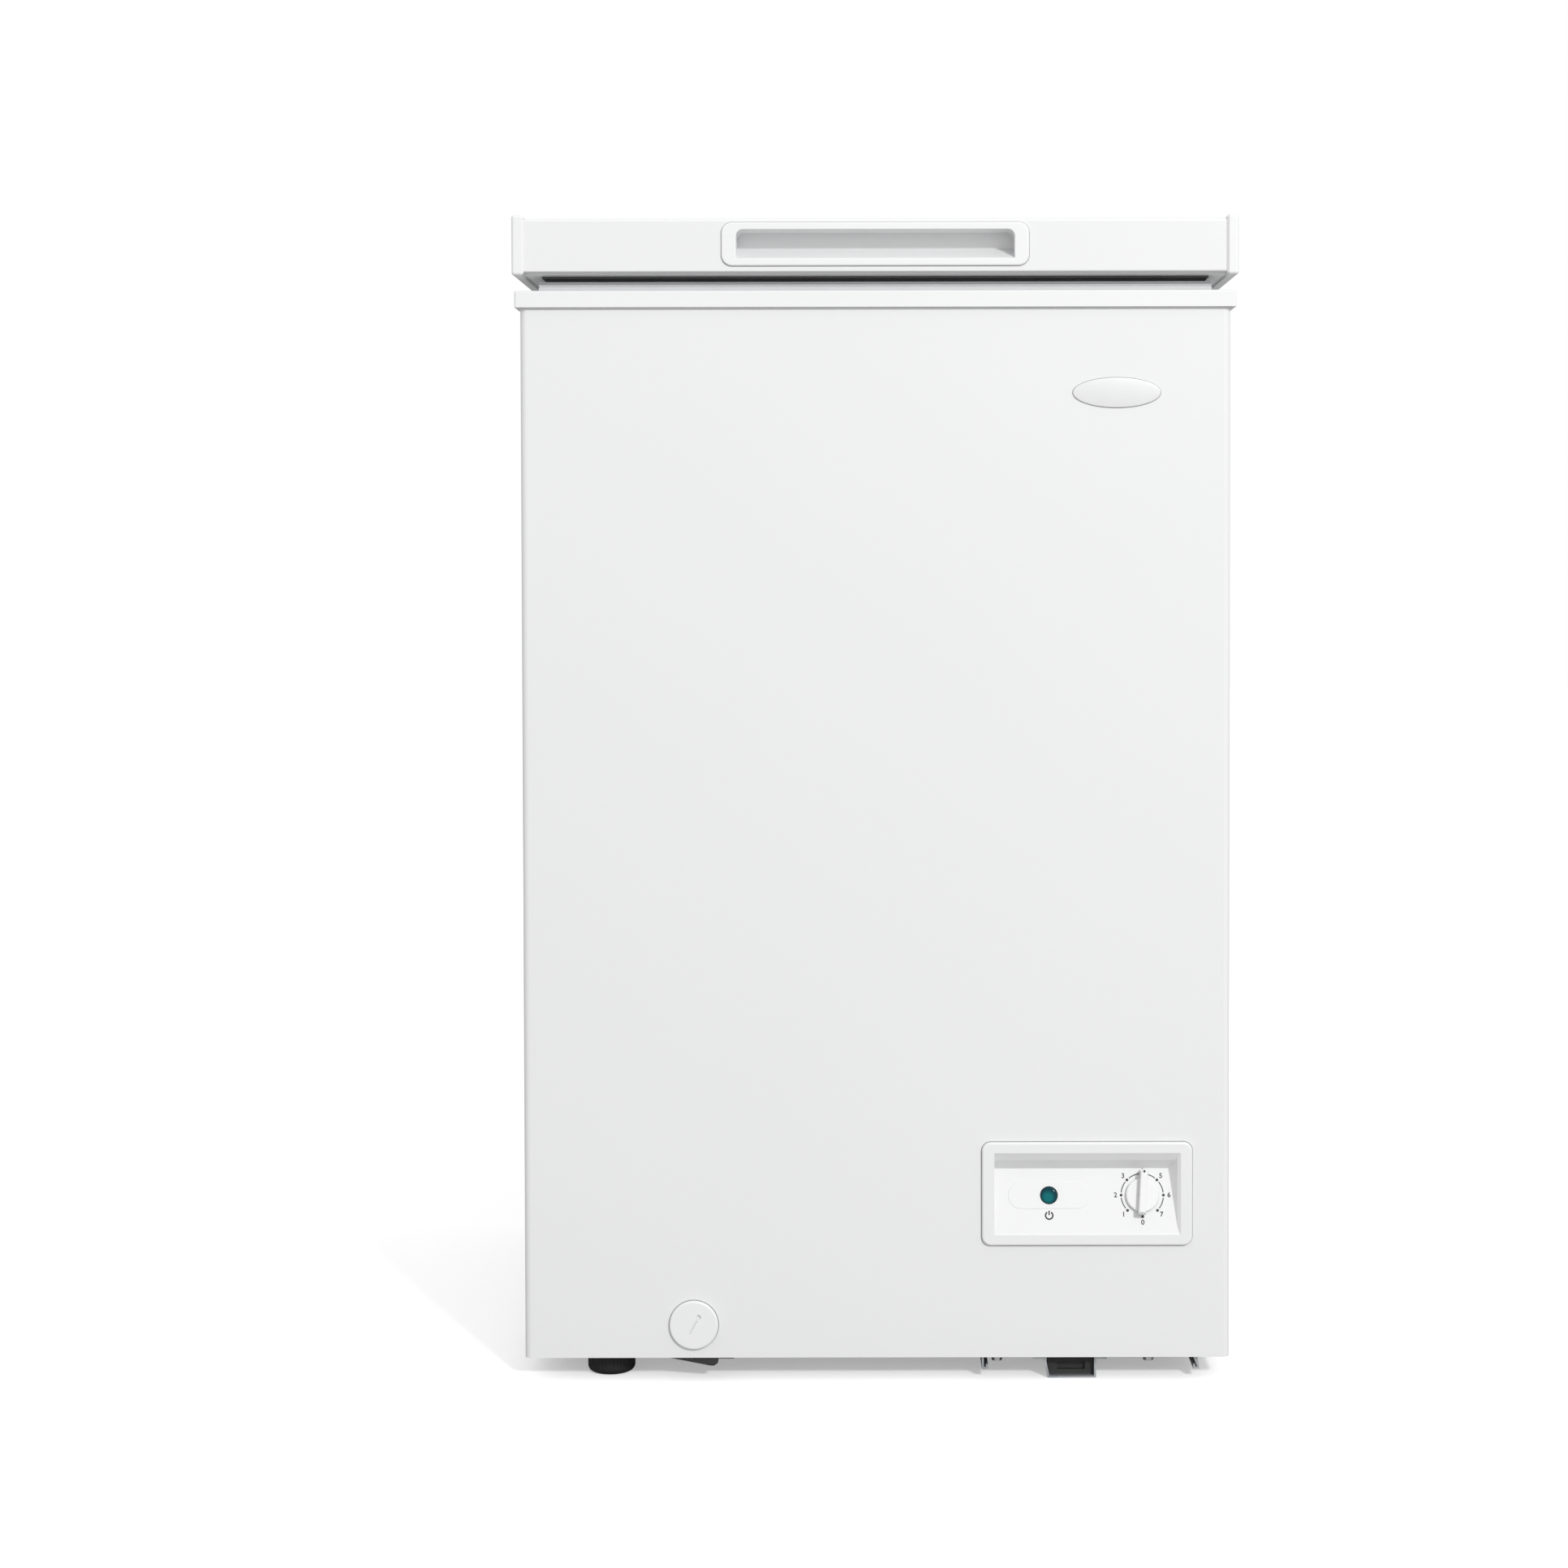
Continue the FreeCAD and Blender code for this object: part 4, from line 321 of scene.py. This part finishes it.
FINISH = {
    "cabinet_wrapper": ENAMEL,
    "lid_outer_panel": ENAMEL,
    "top_collar": WHITE,
    "lid_end_cap_left": WHITE,
    "lid_end_cap_right": WHITE,
    "lid_handle": WHITE,
    "control_bezel": PANEL_WHITE,
    "thermostat_knob": PANEL_WHITE,
    "drain_cap": WHITE,
    "drain_spout": WHITE,
    "drain_socket": WHITE,
    "drain_pipe": WHITE,
    "drain_plug": WHITE,
    "lid_inner_liner": LINER_WHITE,
    "inner_liner": STUCCO,
    "back_panel": BACK,
    "rear_vent_cover": BACK,
    "bottom_panel": ZINC_SHEET,
    "base_plate": ZINC_SHEET,
    "support_bracket_front": ZINC_SHEET,
    "support_bracket_rear": ZINC_SHEET,
    "foot_nuts": ZINC,
    "base_plate_bolts": ZINC,
    "hinge_base_left": ZINC,
    "hinge_base_right": ZINC,
    "hinge_arm_left": ZINC,
    "hinge_arm_right": ZINC,
    "hinge_pins": ZINC,
    "hinge_base_screws": ZINC,
    "hinge_arm_screws": ZINC,
    "rear_cover_screws": ZINC,
    "compressor_bolts": ZINC,
    "hinge_spring_left": SPRING,
    "hinge_spring_right": SPRING,
    "hinge_plunger_left": NYLON,
    "hinge_plunger_right": NYLON,
    "thermostat_body": NYLON,
    "thermostat_shaft": NYLON,
    "levelling_foot_front": BLACK,
    "levelling_foot_rear": BLACK,
    "relay_cover": BLACK,
    "cord_gland": BLACK,
    "pilot_lamp_holder": BLACK,
    "pilot_lamp_lens": LENS,
    "support_blocks": BLACK_RUBBER,
    "compressor_grommets": BLACK_RUBBER,
    "wiring_harness": BLACK_RUBBER,
    "compressor": BLACK_PAINT,
    "underside_clip": BLACK_PAINT,
    "compressor_lines": COPPER,
    "capillary_tube": COPPER,
    "filter_drier": COPPER,
    "evaporator_coil": COPPER,
    "thermostat_sensor_tube": COPPER,
    "condenser_coil": SPRING,
    "cabinet_insulation": FOAM,
    "lid_insulation": FOAM,
}

for name, finish in FINISH.items():
    slots = nodes[name].data.materials
    slots.clear()
    slots.append(finish)


# ---------------------------------------------------------------- mesh helpers
def piece(name, bm, material, body, smooth=True):
    """Makes an object of a bmesh, which rides on a CAD body."""
    bmesh.ops.recalc_face_normals(bm, faces=bm.faces)
    mesh = bpy.data.meshes.new(name)
    bm.to_mesh(mesh)
    bm.free()
    mesh.materials.append(material)
    for polygon in mesh.polygons:
        polygon.use_smooth = smooth
    obj = bpy.data.objects.new(name, mesh)
    bpy.context.scene.collection.objects.link(obj)
    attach(obj, body)
    return obj


def skin(bm, rings, closed=True, caps=False):
    """Faces between rings of points, in order. closed joins each ring's ends."""
    rows = [[bm.verts.new(p) for p in ring] for ring in rings]
    for one, two in zip(rows, rows[1:]):
        count = len(one)
        for i in range(count if closed else count - 1):
            j = (i + 1) % count
            bm.faces.new((one[i], one[j], two[j], two[i]))
    if caps:
        bm.faces.new(rows[0][::-1])
        bm.faces.new(rows[-1])
    return rows


def rounded_path(points, bend, steps=5, cyclic=False):
    """A polyline with its corners rounded to a bend radius."""
    points = [Vector(p) for p in points]
    count = len(points)
    path = []
    for i, corner in enumerate(points):
        if not cyclic and i in (0, count - 1):
            path.append(corner)
            continue
        into = (corner - points[i - 1]).normalized()
        out = (points[(i + 1) % count] - corner).normalized()
        half = into.angle(out) / 2
        if half < 1e-4:
            path.append(corner)
            continue
        back = bend * math.tan(half)
        centre = corner + (out - into).normalized() * (bend / math.cos(half))
        first = corner - into * back - centre
        axis = into.cross(out).normalized()
        for step in range(steps + 1):
            turn = Matrix.Rotation(2 * half * step / steps, 3, axis)
            path.append(centre + turn @ first)
    return path


def add_wire(bm, path, radius, cyclic=False, sides=10):
    """A round wire along a path, its rings carried along without twist."""
    count = len(path)
    tangents = []
    for i in range(count):
        before = path[i - 1] if (cyclic or i) else path[i]
        after = path[(i + 1) % count] if (cyclic or i < count - 1) else path[i]
        tangents.append((after - before).normalized())
    side = tangents[0].orthogonal().normalized()
    rings = []
    for point, tangent in zip(path, tangents):
        side = (side - tangent * side.dot(tangent)).normalized()
        other = tangent.cross(side)
        ring = []
        for k in range(sides):
            angle = 2 * math.pi * k / sides
            ring.append(point + (side * math.cos(angle) + other * math.sin(angle)) * radius)
        rings.append(ring)
    rows = skin(bm, rings, closed=True, caps=not cyclic)
    if cyclic:
        # the last ring may have turned a little against the first, so the nearest start is found
        first, last = rows[0], rows[-1]
        shift = min(range(sides), key=lambda s: (last[0].co - first[s].co).length)
        for k in range(sides):
            a, b = last[k], last[(k + 1) % sides]
            c, d = first[(k + 1 + shift) % sides], first[(k + shift) % sides]
            bm.faces.new((a, b, c, d))


# ---------------------------------------------------------------- the lid's seal
def seal():
    """The magnetic seal as one mitred extrusion: a ribbed bulb, a bellows neck and a barbed base, with the neck
    in a near-black painted shade.
    """
    low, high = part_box("lid_gasket")
    profile = [
        (1.4, 0.0),
        (0.5, 0.3),
        (0.0, 1.2),
        (0.0, 3.0),
        (0.5, 3.5),
        (0.5, 3.9),
        (0.0, 4.3),
        (0.0, 5.3),
        (1.0, 5.7),
        (1.0, 6.1),
        (0.2, 6.5),
        (0.2, 7.0),
        (1.6, 7.4),
        (4.4, 7.6),
        (4.0, 8.3),
        (4.6, 9.0),
        (4.2, 9.5),
        (2.2, 9.9),
        (2.0, 11.4),
        (12.0, 11.4),
        (11.8, 9.9),
        (9.8, 9.5),
        (9.4, 9.0),
        (10.0, 8.3),
        (9.6, 7.6),
        (12.6, 7.2),
        (14.0, 6.2),
        (14.0, 1.2),
        (13.4, 0.3),
        (12.6, 0.0),
    ]
    rings = []
    for x_end, y_end in ((0, 0), (1, 0), (1, 1), (0, 1)):
        ring = []
        for inset, up in profile:
            x = low[0] + inset * MM if x_end == 0 else high[0] - inset * MM
            y = low[1] + inset * MM if y_end == 0 else high[1] - inset * MM
            ring.append((x, y, low[2] + up * MM))
        rings.append(ring)
    rings.append(rings[0])
    bm = bmesh.new()
    skin(bm, rings)
    bmesh.ops.remove_doubles(bm, verts=bm.verts, dist=1e-7)
    obj = piece("seal_extrusion", bm, SEAL, "lid", smooth=False)
    # painted shade: the faces above the shoulder take the near-black neck material in place of the gap's shade
    # under the lid
    obj.data.materials.append(SEAL_NECK_SHADE)
    shoulder = low[2] + 7.2 * MM
    for polygon in obj.data.polygons:
        if polygon.center.z > shoulder:
            polygon.material_index = 1
    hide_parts("lid_gasket")


# ---------------------------------------------------------------- the badge
def badge():
    """A blank oval with a rounded rim and a shallow dome."""
    low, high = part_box("badge")
    centre_x, centre_z = (low[0] + high[0]) / 2, (low[2] + high[2]) / 2
    half_x, half_z = (high[0] - low[0]) / 2, (high[2] - low[2]) / 2
    back = high[1]
    thick = high[1] - low[1]
    # (inset from the top and bottom in mm, height as a share of the thickness)
    profile = [
        (0.0, 0.0),
        (0.0, 0.42),
        (0.15, 0.58),
        (0.5, 0.68),
        (1.0, 0.71),
        (2.0, 0.77),
        (3.6, 0.85),
        (5.6, 0.92),
        (7.8, 0.97),
        (9.6, 0.995),
    ]
    around = 96
    rings = []
    for inset, share in profile:
        # the rim is as wide at the ends as at the top; the dome inside it keeps the oval's proportions
        inset_x = inset if inset <= 1 else inset * 0.9 * half_x / half_z
        ring = []
        for k in range(around):
            angle = 2 * math.pi * k / around
            x = (half_x - inset_x * MM) * math.cos(angle)
            z = (half_z - inset * MM) * math.sin(angle)
            ring.append((centre_x + x, back - thick * share, centre_z + z))
        rings.append(ring)
    bm = bmesh.new()
    rows = skin(bm, rings)
    tip = bm.verts.new((centre_x, back - thick, centre_z))
    for k in range(around):
        bm.faces.new((rows[-1][k], rows[-1][(k + 1) % around], tip))
    bm.faces.new(rows[0][::-1])
    obj = piece("badge_oval", bm, SILVERED, "cabinet")
    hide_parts("badge")


# ---------------------------------------------------------------- print and lamp surround on the panel
DIAL_JOINT = next(j for j in frame["joints"] if j["name"] == "thermostat_turn")
DIAL_CENTRE = Vector(DIAL_JOINT["pos_m"])
DIAL_OUT = Vector(DIAL_JOINT["axis"]).normalized()
DIAL_RIGHT = Vector((1, 0, 0))
DIAL_UP = DIAL_OUT.cross(DIAL_RIGHT)
LAMP_RIGHT = LENS_CENTRE.x - DIAL_CENTRE.x
PRINT_LOW, PRINT_HIGH = -0.02, 0.06  # the print's underside and face, in mm from the panel's floor
CAPITAL_SHARE = 0.72  # a figure's height as a share of the font's size


def on_panel(right, up, out):
    """A place on the sloping floor, in millimetres from the dial's centre."""
    return DIAL_CENTRE + (DIAL_RIGHT * right + DIAL_UP * up + DIAL_OUT * out) * MM


def add_plate(bm, outline, low, high):
    """A flat plate parallel to the panel's floor, with a given outline."""
    skin(bm, [[on_panel(a, b, out) for a, b in outline] for out in (low, high)], caps=True)


def add_arc(bm, centre, radius, start, end, width, low, high, steps):
    """A flat strip bent round a centre, angles in degrees clockwise from the top."""
    inner, outer = radius - width / 2, radius + width / 2
    rows = []
    for k in range(steps + 1):
        angle = math.radians(start + (end - start) * k / steps)
        a, b = math.sin(angle), math.cos(angle)
        section = ((inner, low), (inner, high), (outer, high), (outer, low))
        rows.append([on_panel(centre[0] + r * a, centre[1] + r * b, out) for r, out in section])
    skin(bm, rows, caps=True)


def circle(centre, radius, count=20):
    turns = [2 * math.pi * k / count for k in range(count)]
    return [(centre[0] + radius * math.cos(t), centre[1] + radius * math.sin(t)) for t in turns]


def add_figure(bm, text, right, up, height):
    """A figure standing on the panel's floor, centred on a place."""
    curve = bpy.data.curves.new("figure", "FONT")
    curve.body = text
    curve.align_x = "CENTER"
    curve.align_y = "CENTER"
    curve.size = height / CAPITAL_SHARE
    curve.offset = 0.1
    curve.resolution_u = 4
    holder = bpy.data.objects.new("figure", curve)
    bpy.context.scene.collection.objects.link(holder)
    mesh = bpy.data.meshes.new_from_object(holder)
    start = len(bm.verts)
    bm.from_mesh(mesh)
    bm.verts.ensure_lookup_table()
    for vert in bm.verts[start:]:
        vert.co = on_panel(right + vert.co.x, up + vert.co.y, PRINT_HIGH)
    bpy.data.objects.remove(holder)
    bpy.data.curves.remove(curve)
    bpy.data.meshes.remove(mesh)


def panel_print():
    """Black print: the dial's dots, dashes and figures, and the power sign under the lamp."""
    bm = bmesh.new()
    ring, low, high = 15.5, PRINT_LOW, PRINT_HIGH
    for stop in range(8):
        angle = 180 + 45 * stop
        place = (ring * math.sin(math.radians(angle)), ring * math.cos(math.radians(angle)))
        add_plate(bm, circle(place, 1.05), low, high)
        figure_ring = 20.4 if stop == 4 else 19.6
        right = figure_ring * math.sin(math.radians(angle))
        up = figure_ring * math.cos(math.radians(angle))
        add_figure(bm, str(stop), right, up, 3.6)
        if 1 <= stop < 7:
            add_arc(bm, (0, 0), ring, angle + 7, angle + 38, 0.7, low, high, 8)
    across, up = LAMP_RIGHT / MM, -14.5
    add_arc(bm, (across, up), 2.65, 32, 328, 1.1, low, high, 24)
    stroke = [(across + a * 0.5, up + b) for a, b in ((-1, 0.2), (1, 0.2), (1, 3.5), (-1, 3.5))]
    add_plate(bm, stroke, low, high)
    piece("panel_print", bm, PRINT, "cabinet", smooth=False)


def pointer_mark():
    """The black mark at the tip of the dial's bar, which leans with the bar and turns with the dial."""
    lean = math.radians(4)
    right, up = math.sin(lean), math.cos(lean)
    outline = [(a * 0.75, 16.9 + b) for a, b in circle((0, 0), 1.0, 16)]
    turned = [(a * up + b * right, b * up - a * right) for a, b in outline]
    bm = bmesh.new()
    add_plate(bm, turned, 9.15, 9.24)
    piece("pointer_mark", bm, PRINT, "thermostat_dial", smooth=False)


def lamp_plate():
    """The faint raised oblong round the lamp."""
    reach, rise, lens_hole, steps = 20.4, 9.6, 6.55, 18
    middle = LAMP_RIGHT / MM
    outline = []
    for side in (1, -1):
        for k in range(steps + 1):
            angle = math.radians(-90 + 180 * k / steps)
            outline.append(Vector((side * (reach + rise * math.cos(angle)), side * rise * math.sin(angle))))
    # extra points along the straight runs, so the face between outline and hole is made of slim wedges
    runs = 12
    top = [Vector((reach - 2 * reach * k / runs, rise)) for k in range(1, runs)]
    outline = outline[: steps + 1] + top + outline[steps + 1 :] + [-p for p in top]
    hole = [p.normalized() * lens_hole for p in outline]
    bm = bmesh.new()
    rings = []
    for points, inset, out in (
        (hole, 0.0, -0.05),
        (outline, 0.0, -0.05),
        (outline, 0.0, 0.16),
        (outline, 0.25, 0.34),
        (hole, 0.0, 0.34),
        (hole, 0.0, -0.05),
    ):
        pulled = [p - p.normalized() * inset for p in points]
        rings.append([on_panel(middle + p.x, p.y, out) for p in pulled])
    skin(bm, rings)
    bmesh.ops.remove_doubles(bm, verts=bm.verts, dist=1e-7)
    piece("lamp_surround", bm, PANEL_WHITE, "cabinet", smooth=False)


# ---------------------------------------------------------------- seams of painted shade round the fittings on the front
def rounded_rectangle(low, high, corner, grow):
    """An upright rounded rectangle in x and z, grown outwards by a distance."""
    radius = corner + grow
    points = []
    for x, z, start in (
        (high[0] - corner, high[2] - corner, 0),
        (low[0] + corner, high[2] - corner, 90),
        (low[0] + corner, low[2] + corner, 180),
        (high[0] - corner, low[2] + corner, 270),
    ):
        for k in range(9):
            angle = math.radians(start + 90 * k / 8)
            points.append((x + radius * math.cos(angle), z + radius * math.sin(angle)))
    return points


def oval(low, high, grow):
    """An upright ellipse in x and z that fills a box, grown outwards by a distance."""
    centre = ((low[0] + high[0]) / 2, (low[2] + high[2]) / 2)
    half = ((high[0] - low[0]) / 2 + grow, (high[2] - low[2]) / 2 + grow)
    turns = [2 * math.pi * k / 96 for k in range(96)]
    return [(centre[0] + half[0] * math.cos(t), centre[1] + half[1] * math.sin(t)) for t in turns]


def seam(name, outline, y, width, body):
    """A hairline of painted shade on a front face, where a fitting meets the sheet."""
    bm = bmesh.new()
    section = ((-0.6 * MM, 0.0), (-0.6 * MM, -0.06 * MM), (width, -0.06 * MM), (width, 0.0), (-0.6 * MM, 0.0))
    rings = [[(x, y + out, z) for x, z in outline(grow)] for grow, out in section]
    skin(bm, rings)
    bmesh.ops.remove_doubles(bm, verts=bm.verts, dist=1e-7)
    piece(name, bm, PAINTED_SEAM_SHADE, body, smooth=False)


def seams():
    bezel, handle, badge_box, cap = (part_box(n) for n in ("control_bezel", "lid_handle", "badge", "drain_cap"))
    cabinet_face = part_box("cabinet_wrapper")[0][1]
    lid_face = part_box("lid_outer_panel")[0][1]
    # painted shade: mid-grey hairlines round the bezel, handle, badge and drain cap stand in for the shade in
    # the gaps round them
    seam("bezel_seam_shade", lambda g: rounded_rectangle(*bezel, 6.5 * MM, g), cabinet_face, 0.55 * MM, "cabinet")
    seam("handle_seam_shade", lambda g: rounded_rectangle(*handle, 8 * MM, g), lid_face, 0.4 * MM, "lid")
    seam("badge_seam_shade", lambda g: oval(*badge_box, g), cabinet_face, 0.4 * MM, "cabinet")
    seam("drain_seam_shade", lambda g: oval(*cap, g), cabinet_face, 0.5 * MM, "cabinet")


# ---------------------------------------------------------------- basket
RIM_TOP = 0.774  # how high the basket's rim hangs above the floor
END_GAP, SIDE_GAP = 29 * MM, 26 * MM  # from the basket's corners to the nearest cross wires


def basket():
    """The hanging basket in round, vinyl-dipped wire: three rings, bent cross wires and two hanging loops."""
    low, high = (Vector(c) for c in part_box("wire_basket"))
    bar, thin, thick = 3.0 * MM, 1.35 * MM, 1.9 * MM
    loop_reach, loop_back = 30 * MM, 5.9 * MM
    left, right = low.x + bar / 2, high.x - bar / 2
    front, back = low.y + loop_reach + bar / 2, high.y - loop_reach - bar / 2
    foot = low.z + bar / 2
    rim = RIM_TOP - bar / 2
    hook = high.z - bar / 2
    bm = bmesh.new()
    for z, radius in ((rim, thick), ((foot + rim) / 2, thin), (foot, thin)):
        corners = [(left, front, z), (right, front, z), (right, back, z), (left, back, z)]
        add_wire(bm, rounded_path(corners, 9 * MM, 6, cyclic=True), radius, cyclic=True)
    across, lengthways = 10, 5
    for i in range(across):
        y = front + END_GAP + i * (back - front - 2 * END_GAP) / (across - 1)
        corners = [(left, y, rim), (left, y, foot), (right, y, foot), (right, y, rim)]
        add_wire(bm, rounded_path(corners, 7 * MM, 5), thin)
    for i in range(lengthways):
        x = left + SIDE_GAP + i * (right - left - 2 * SIDE_GAP) / (lengthways - 1)
        corners = [(x, front, rim), (x, front, foot), (x, back, foot), (x, back, rim)]
        add_wire(bm, rounded_path(corners, 7 * MM, 5), thin)
    middle = (left + right) / 2
    half = 50 * MM - bar / 2
    for edge, away in ((front, -1), (back, 1)):
        wall, out = edge + away * loop_back, edge + away * loop_reach
        leg = [
            (edge, rim - 22 * MM),
            (edge + away * 2.6 * MM, rim),
            (wall, rim + 8 * MM),
            (wall, hook),
            (out, hook),
        ]
        corners = [(middle - half, y, z) for y, z in leg] + [(middle + half, y, z) for y, z in leg[::-1]]
        add_wire(bm, rounded_path(corners, 2.4 * MM, 4), 1.5 * MM)
    obj = piece("basket_wires", bm, VINYL, "basket")
    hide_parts("wire_basket")


seal()
badge()
panel_print()
pointer_mark()
lamp_plate()
seams()
basket()


# ---------------------------------------------------------------- floor, light and camera
def studio_floor():
    """A wide pale floor that throws back less light than it shows, as under a flagged studio light."""
    m = Nodes("studio_floor").set(Roughness=0.9)
    paper = m.blend(m.noise(1.5, 2.0), (0.93, 0.93, 0.93), (0.94, 0.94, 0.94))
    ray = m.tree.nodes.new("ShaderNodeLightPath")
    m.colour(m.blend(ray.outputs["Is Camera Ray"], (0.42, 0.42, 0.42), paper))
    m.set(Emission_Color=(1.0, 1.0, 1.0, 1.0))
    glow = m.ramp(ray.outputs["Is Camera Ray"], 0.0, 0.36)
    m.link(glow, m.shader.inputs["Emission Strength"])
    bm = bmesh.new()
    reach, count = 12.0, 48
    turns = [2 * math.pi * k / count for k in range(count)]
    bm.faces.new([bm.verts.new((reach * math.cos(t), reach * math.sin(t), 0)) for t in turns])
    mesh = bpy.data.meshes.new("studio_floor")
    bm.to_mesh(mesh)
    bm.free()
    mesh.materials.append(m.mat)
    obj = bpy.data.objects.new("studio_floor", mesh)
    bpy.context.scene.collection.objects.link(obj)


def area_light(name, place, target, size, power):
    data = bpy.data.lights.new(name, "AREA")
    data.shape = "RECTANGLE"
    data.size, data.size_y = size
    data.energy = power
    obj = bpy.data.objects.new(name, data)
    obj.location = place
    obj.rotation_euler = (Vector(target) - Vector(place)).to_track_quat("-Z", "Y").to_euler()
    bpy.context.scene.collection.objects.link(obj)


def world_light(strength):
    """Even light from all round; behind the object the plain white paper shows."""
    world = bpy.data.worlds.new("studio")
    world.use_nodes = True
    tree = world.node_tree
    lighting = tree.nodes["Background"]
    lighting.inputs["Color"].default_value = (1.0, 1.0, 1.0, 1.0)
    lighting.inputs["Strength"].default_value = strength
    paper = tree.nodes.new("ShaderNodeBackground")
    paper.inputs["Color"].default_value = (1.0, 1.0, 1.0, 1.0)
    ray = tree.nodes.new("ShaderNodeLightPath")
    mix = tree.nodes.new("ShaderNodeMixShader")
    tree.links.new(ray.outputs["Is Camera Ray"], mix.inputs["Fac"])
    tree.links.new(lighting.outputs[0], mix.inputs[1])
    tree.links.new(paper.outputs[0], mix.inputs[2])
    tree.links.new(mix.outputs[0], tree.nodes["World Output"].inputs["Surface"])
    bpy.context.scene.world = world


def camera():
    """Level with the freezer's upper half and looking slightly down, the freezer off-centre in the frame."""
    data = bpy.data.cameras.new("camera")
    data.sensor_width = 36.0
    data.lens = 63.07
    data.shift_x = -0.0586
    data.shift_y = -0.0865
    data.clip_end = 60.0
    obj = bpy.data.objects.new("camera", data)
    obj.location = (0.0, -2.2505, 0.59)
    tilt, roll = math.radians(90 - 1.533), math.radians(-0.10)
    obj.rotation_euler = (Matrix.Rotation(tilt, 3, "X") @ Matrix.Rotation(roll, 3, "Z")).to_euler()
    bpy.context.scene.collection.objects.link(obj)
    bpy.context.scene.camera = obj


studio_floor()
world_light(0.74)
area_light("key", (2.3, -5.15, 3.3), (0.0, -0.25, 0.5), (0.6, 0.6), 200.0)
camera()
bpy.context.scene.view_settings.view_transform = "Standard"
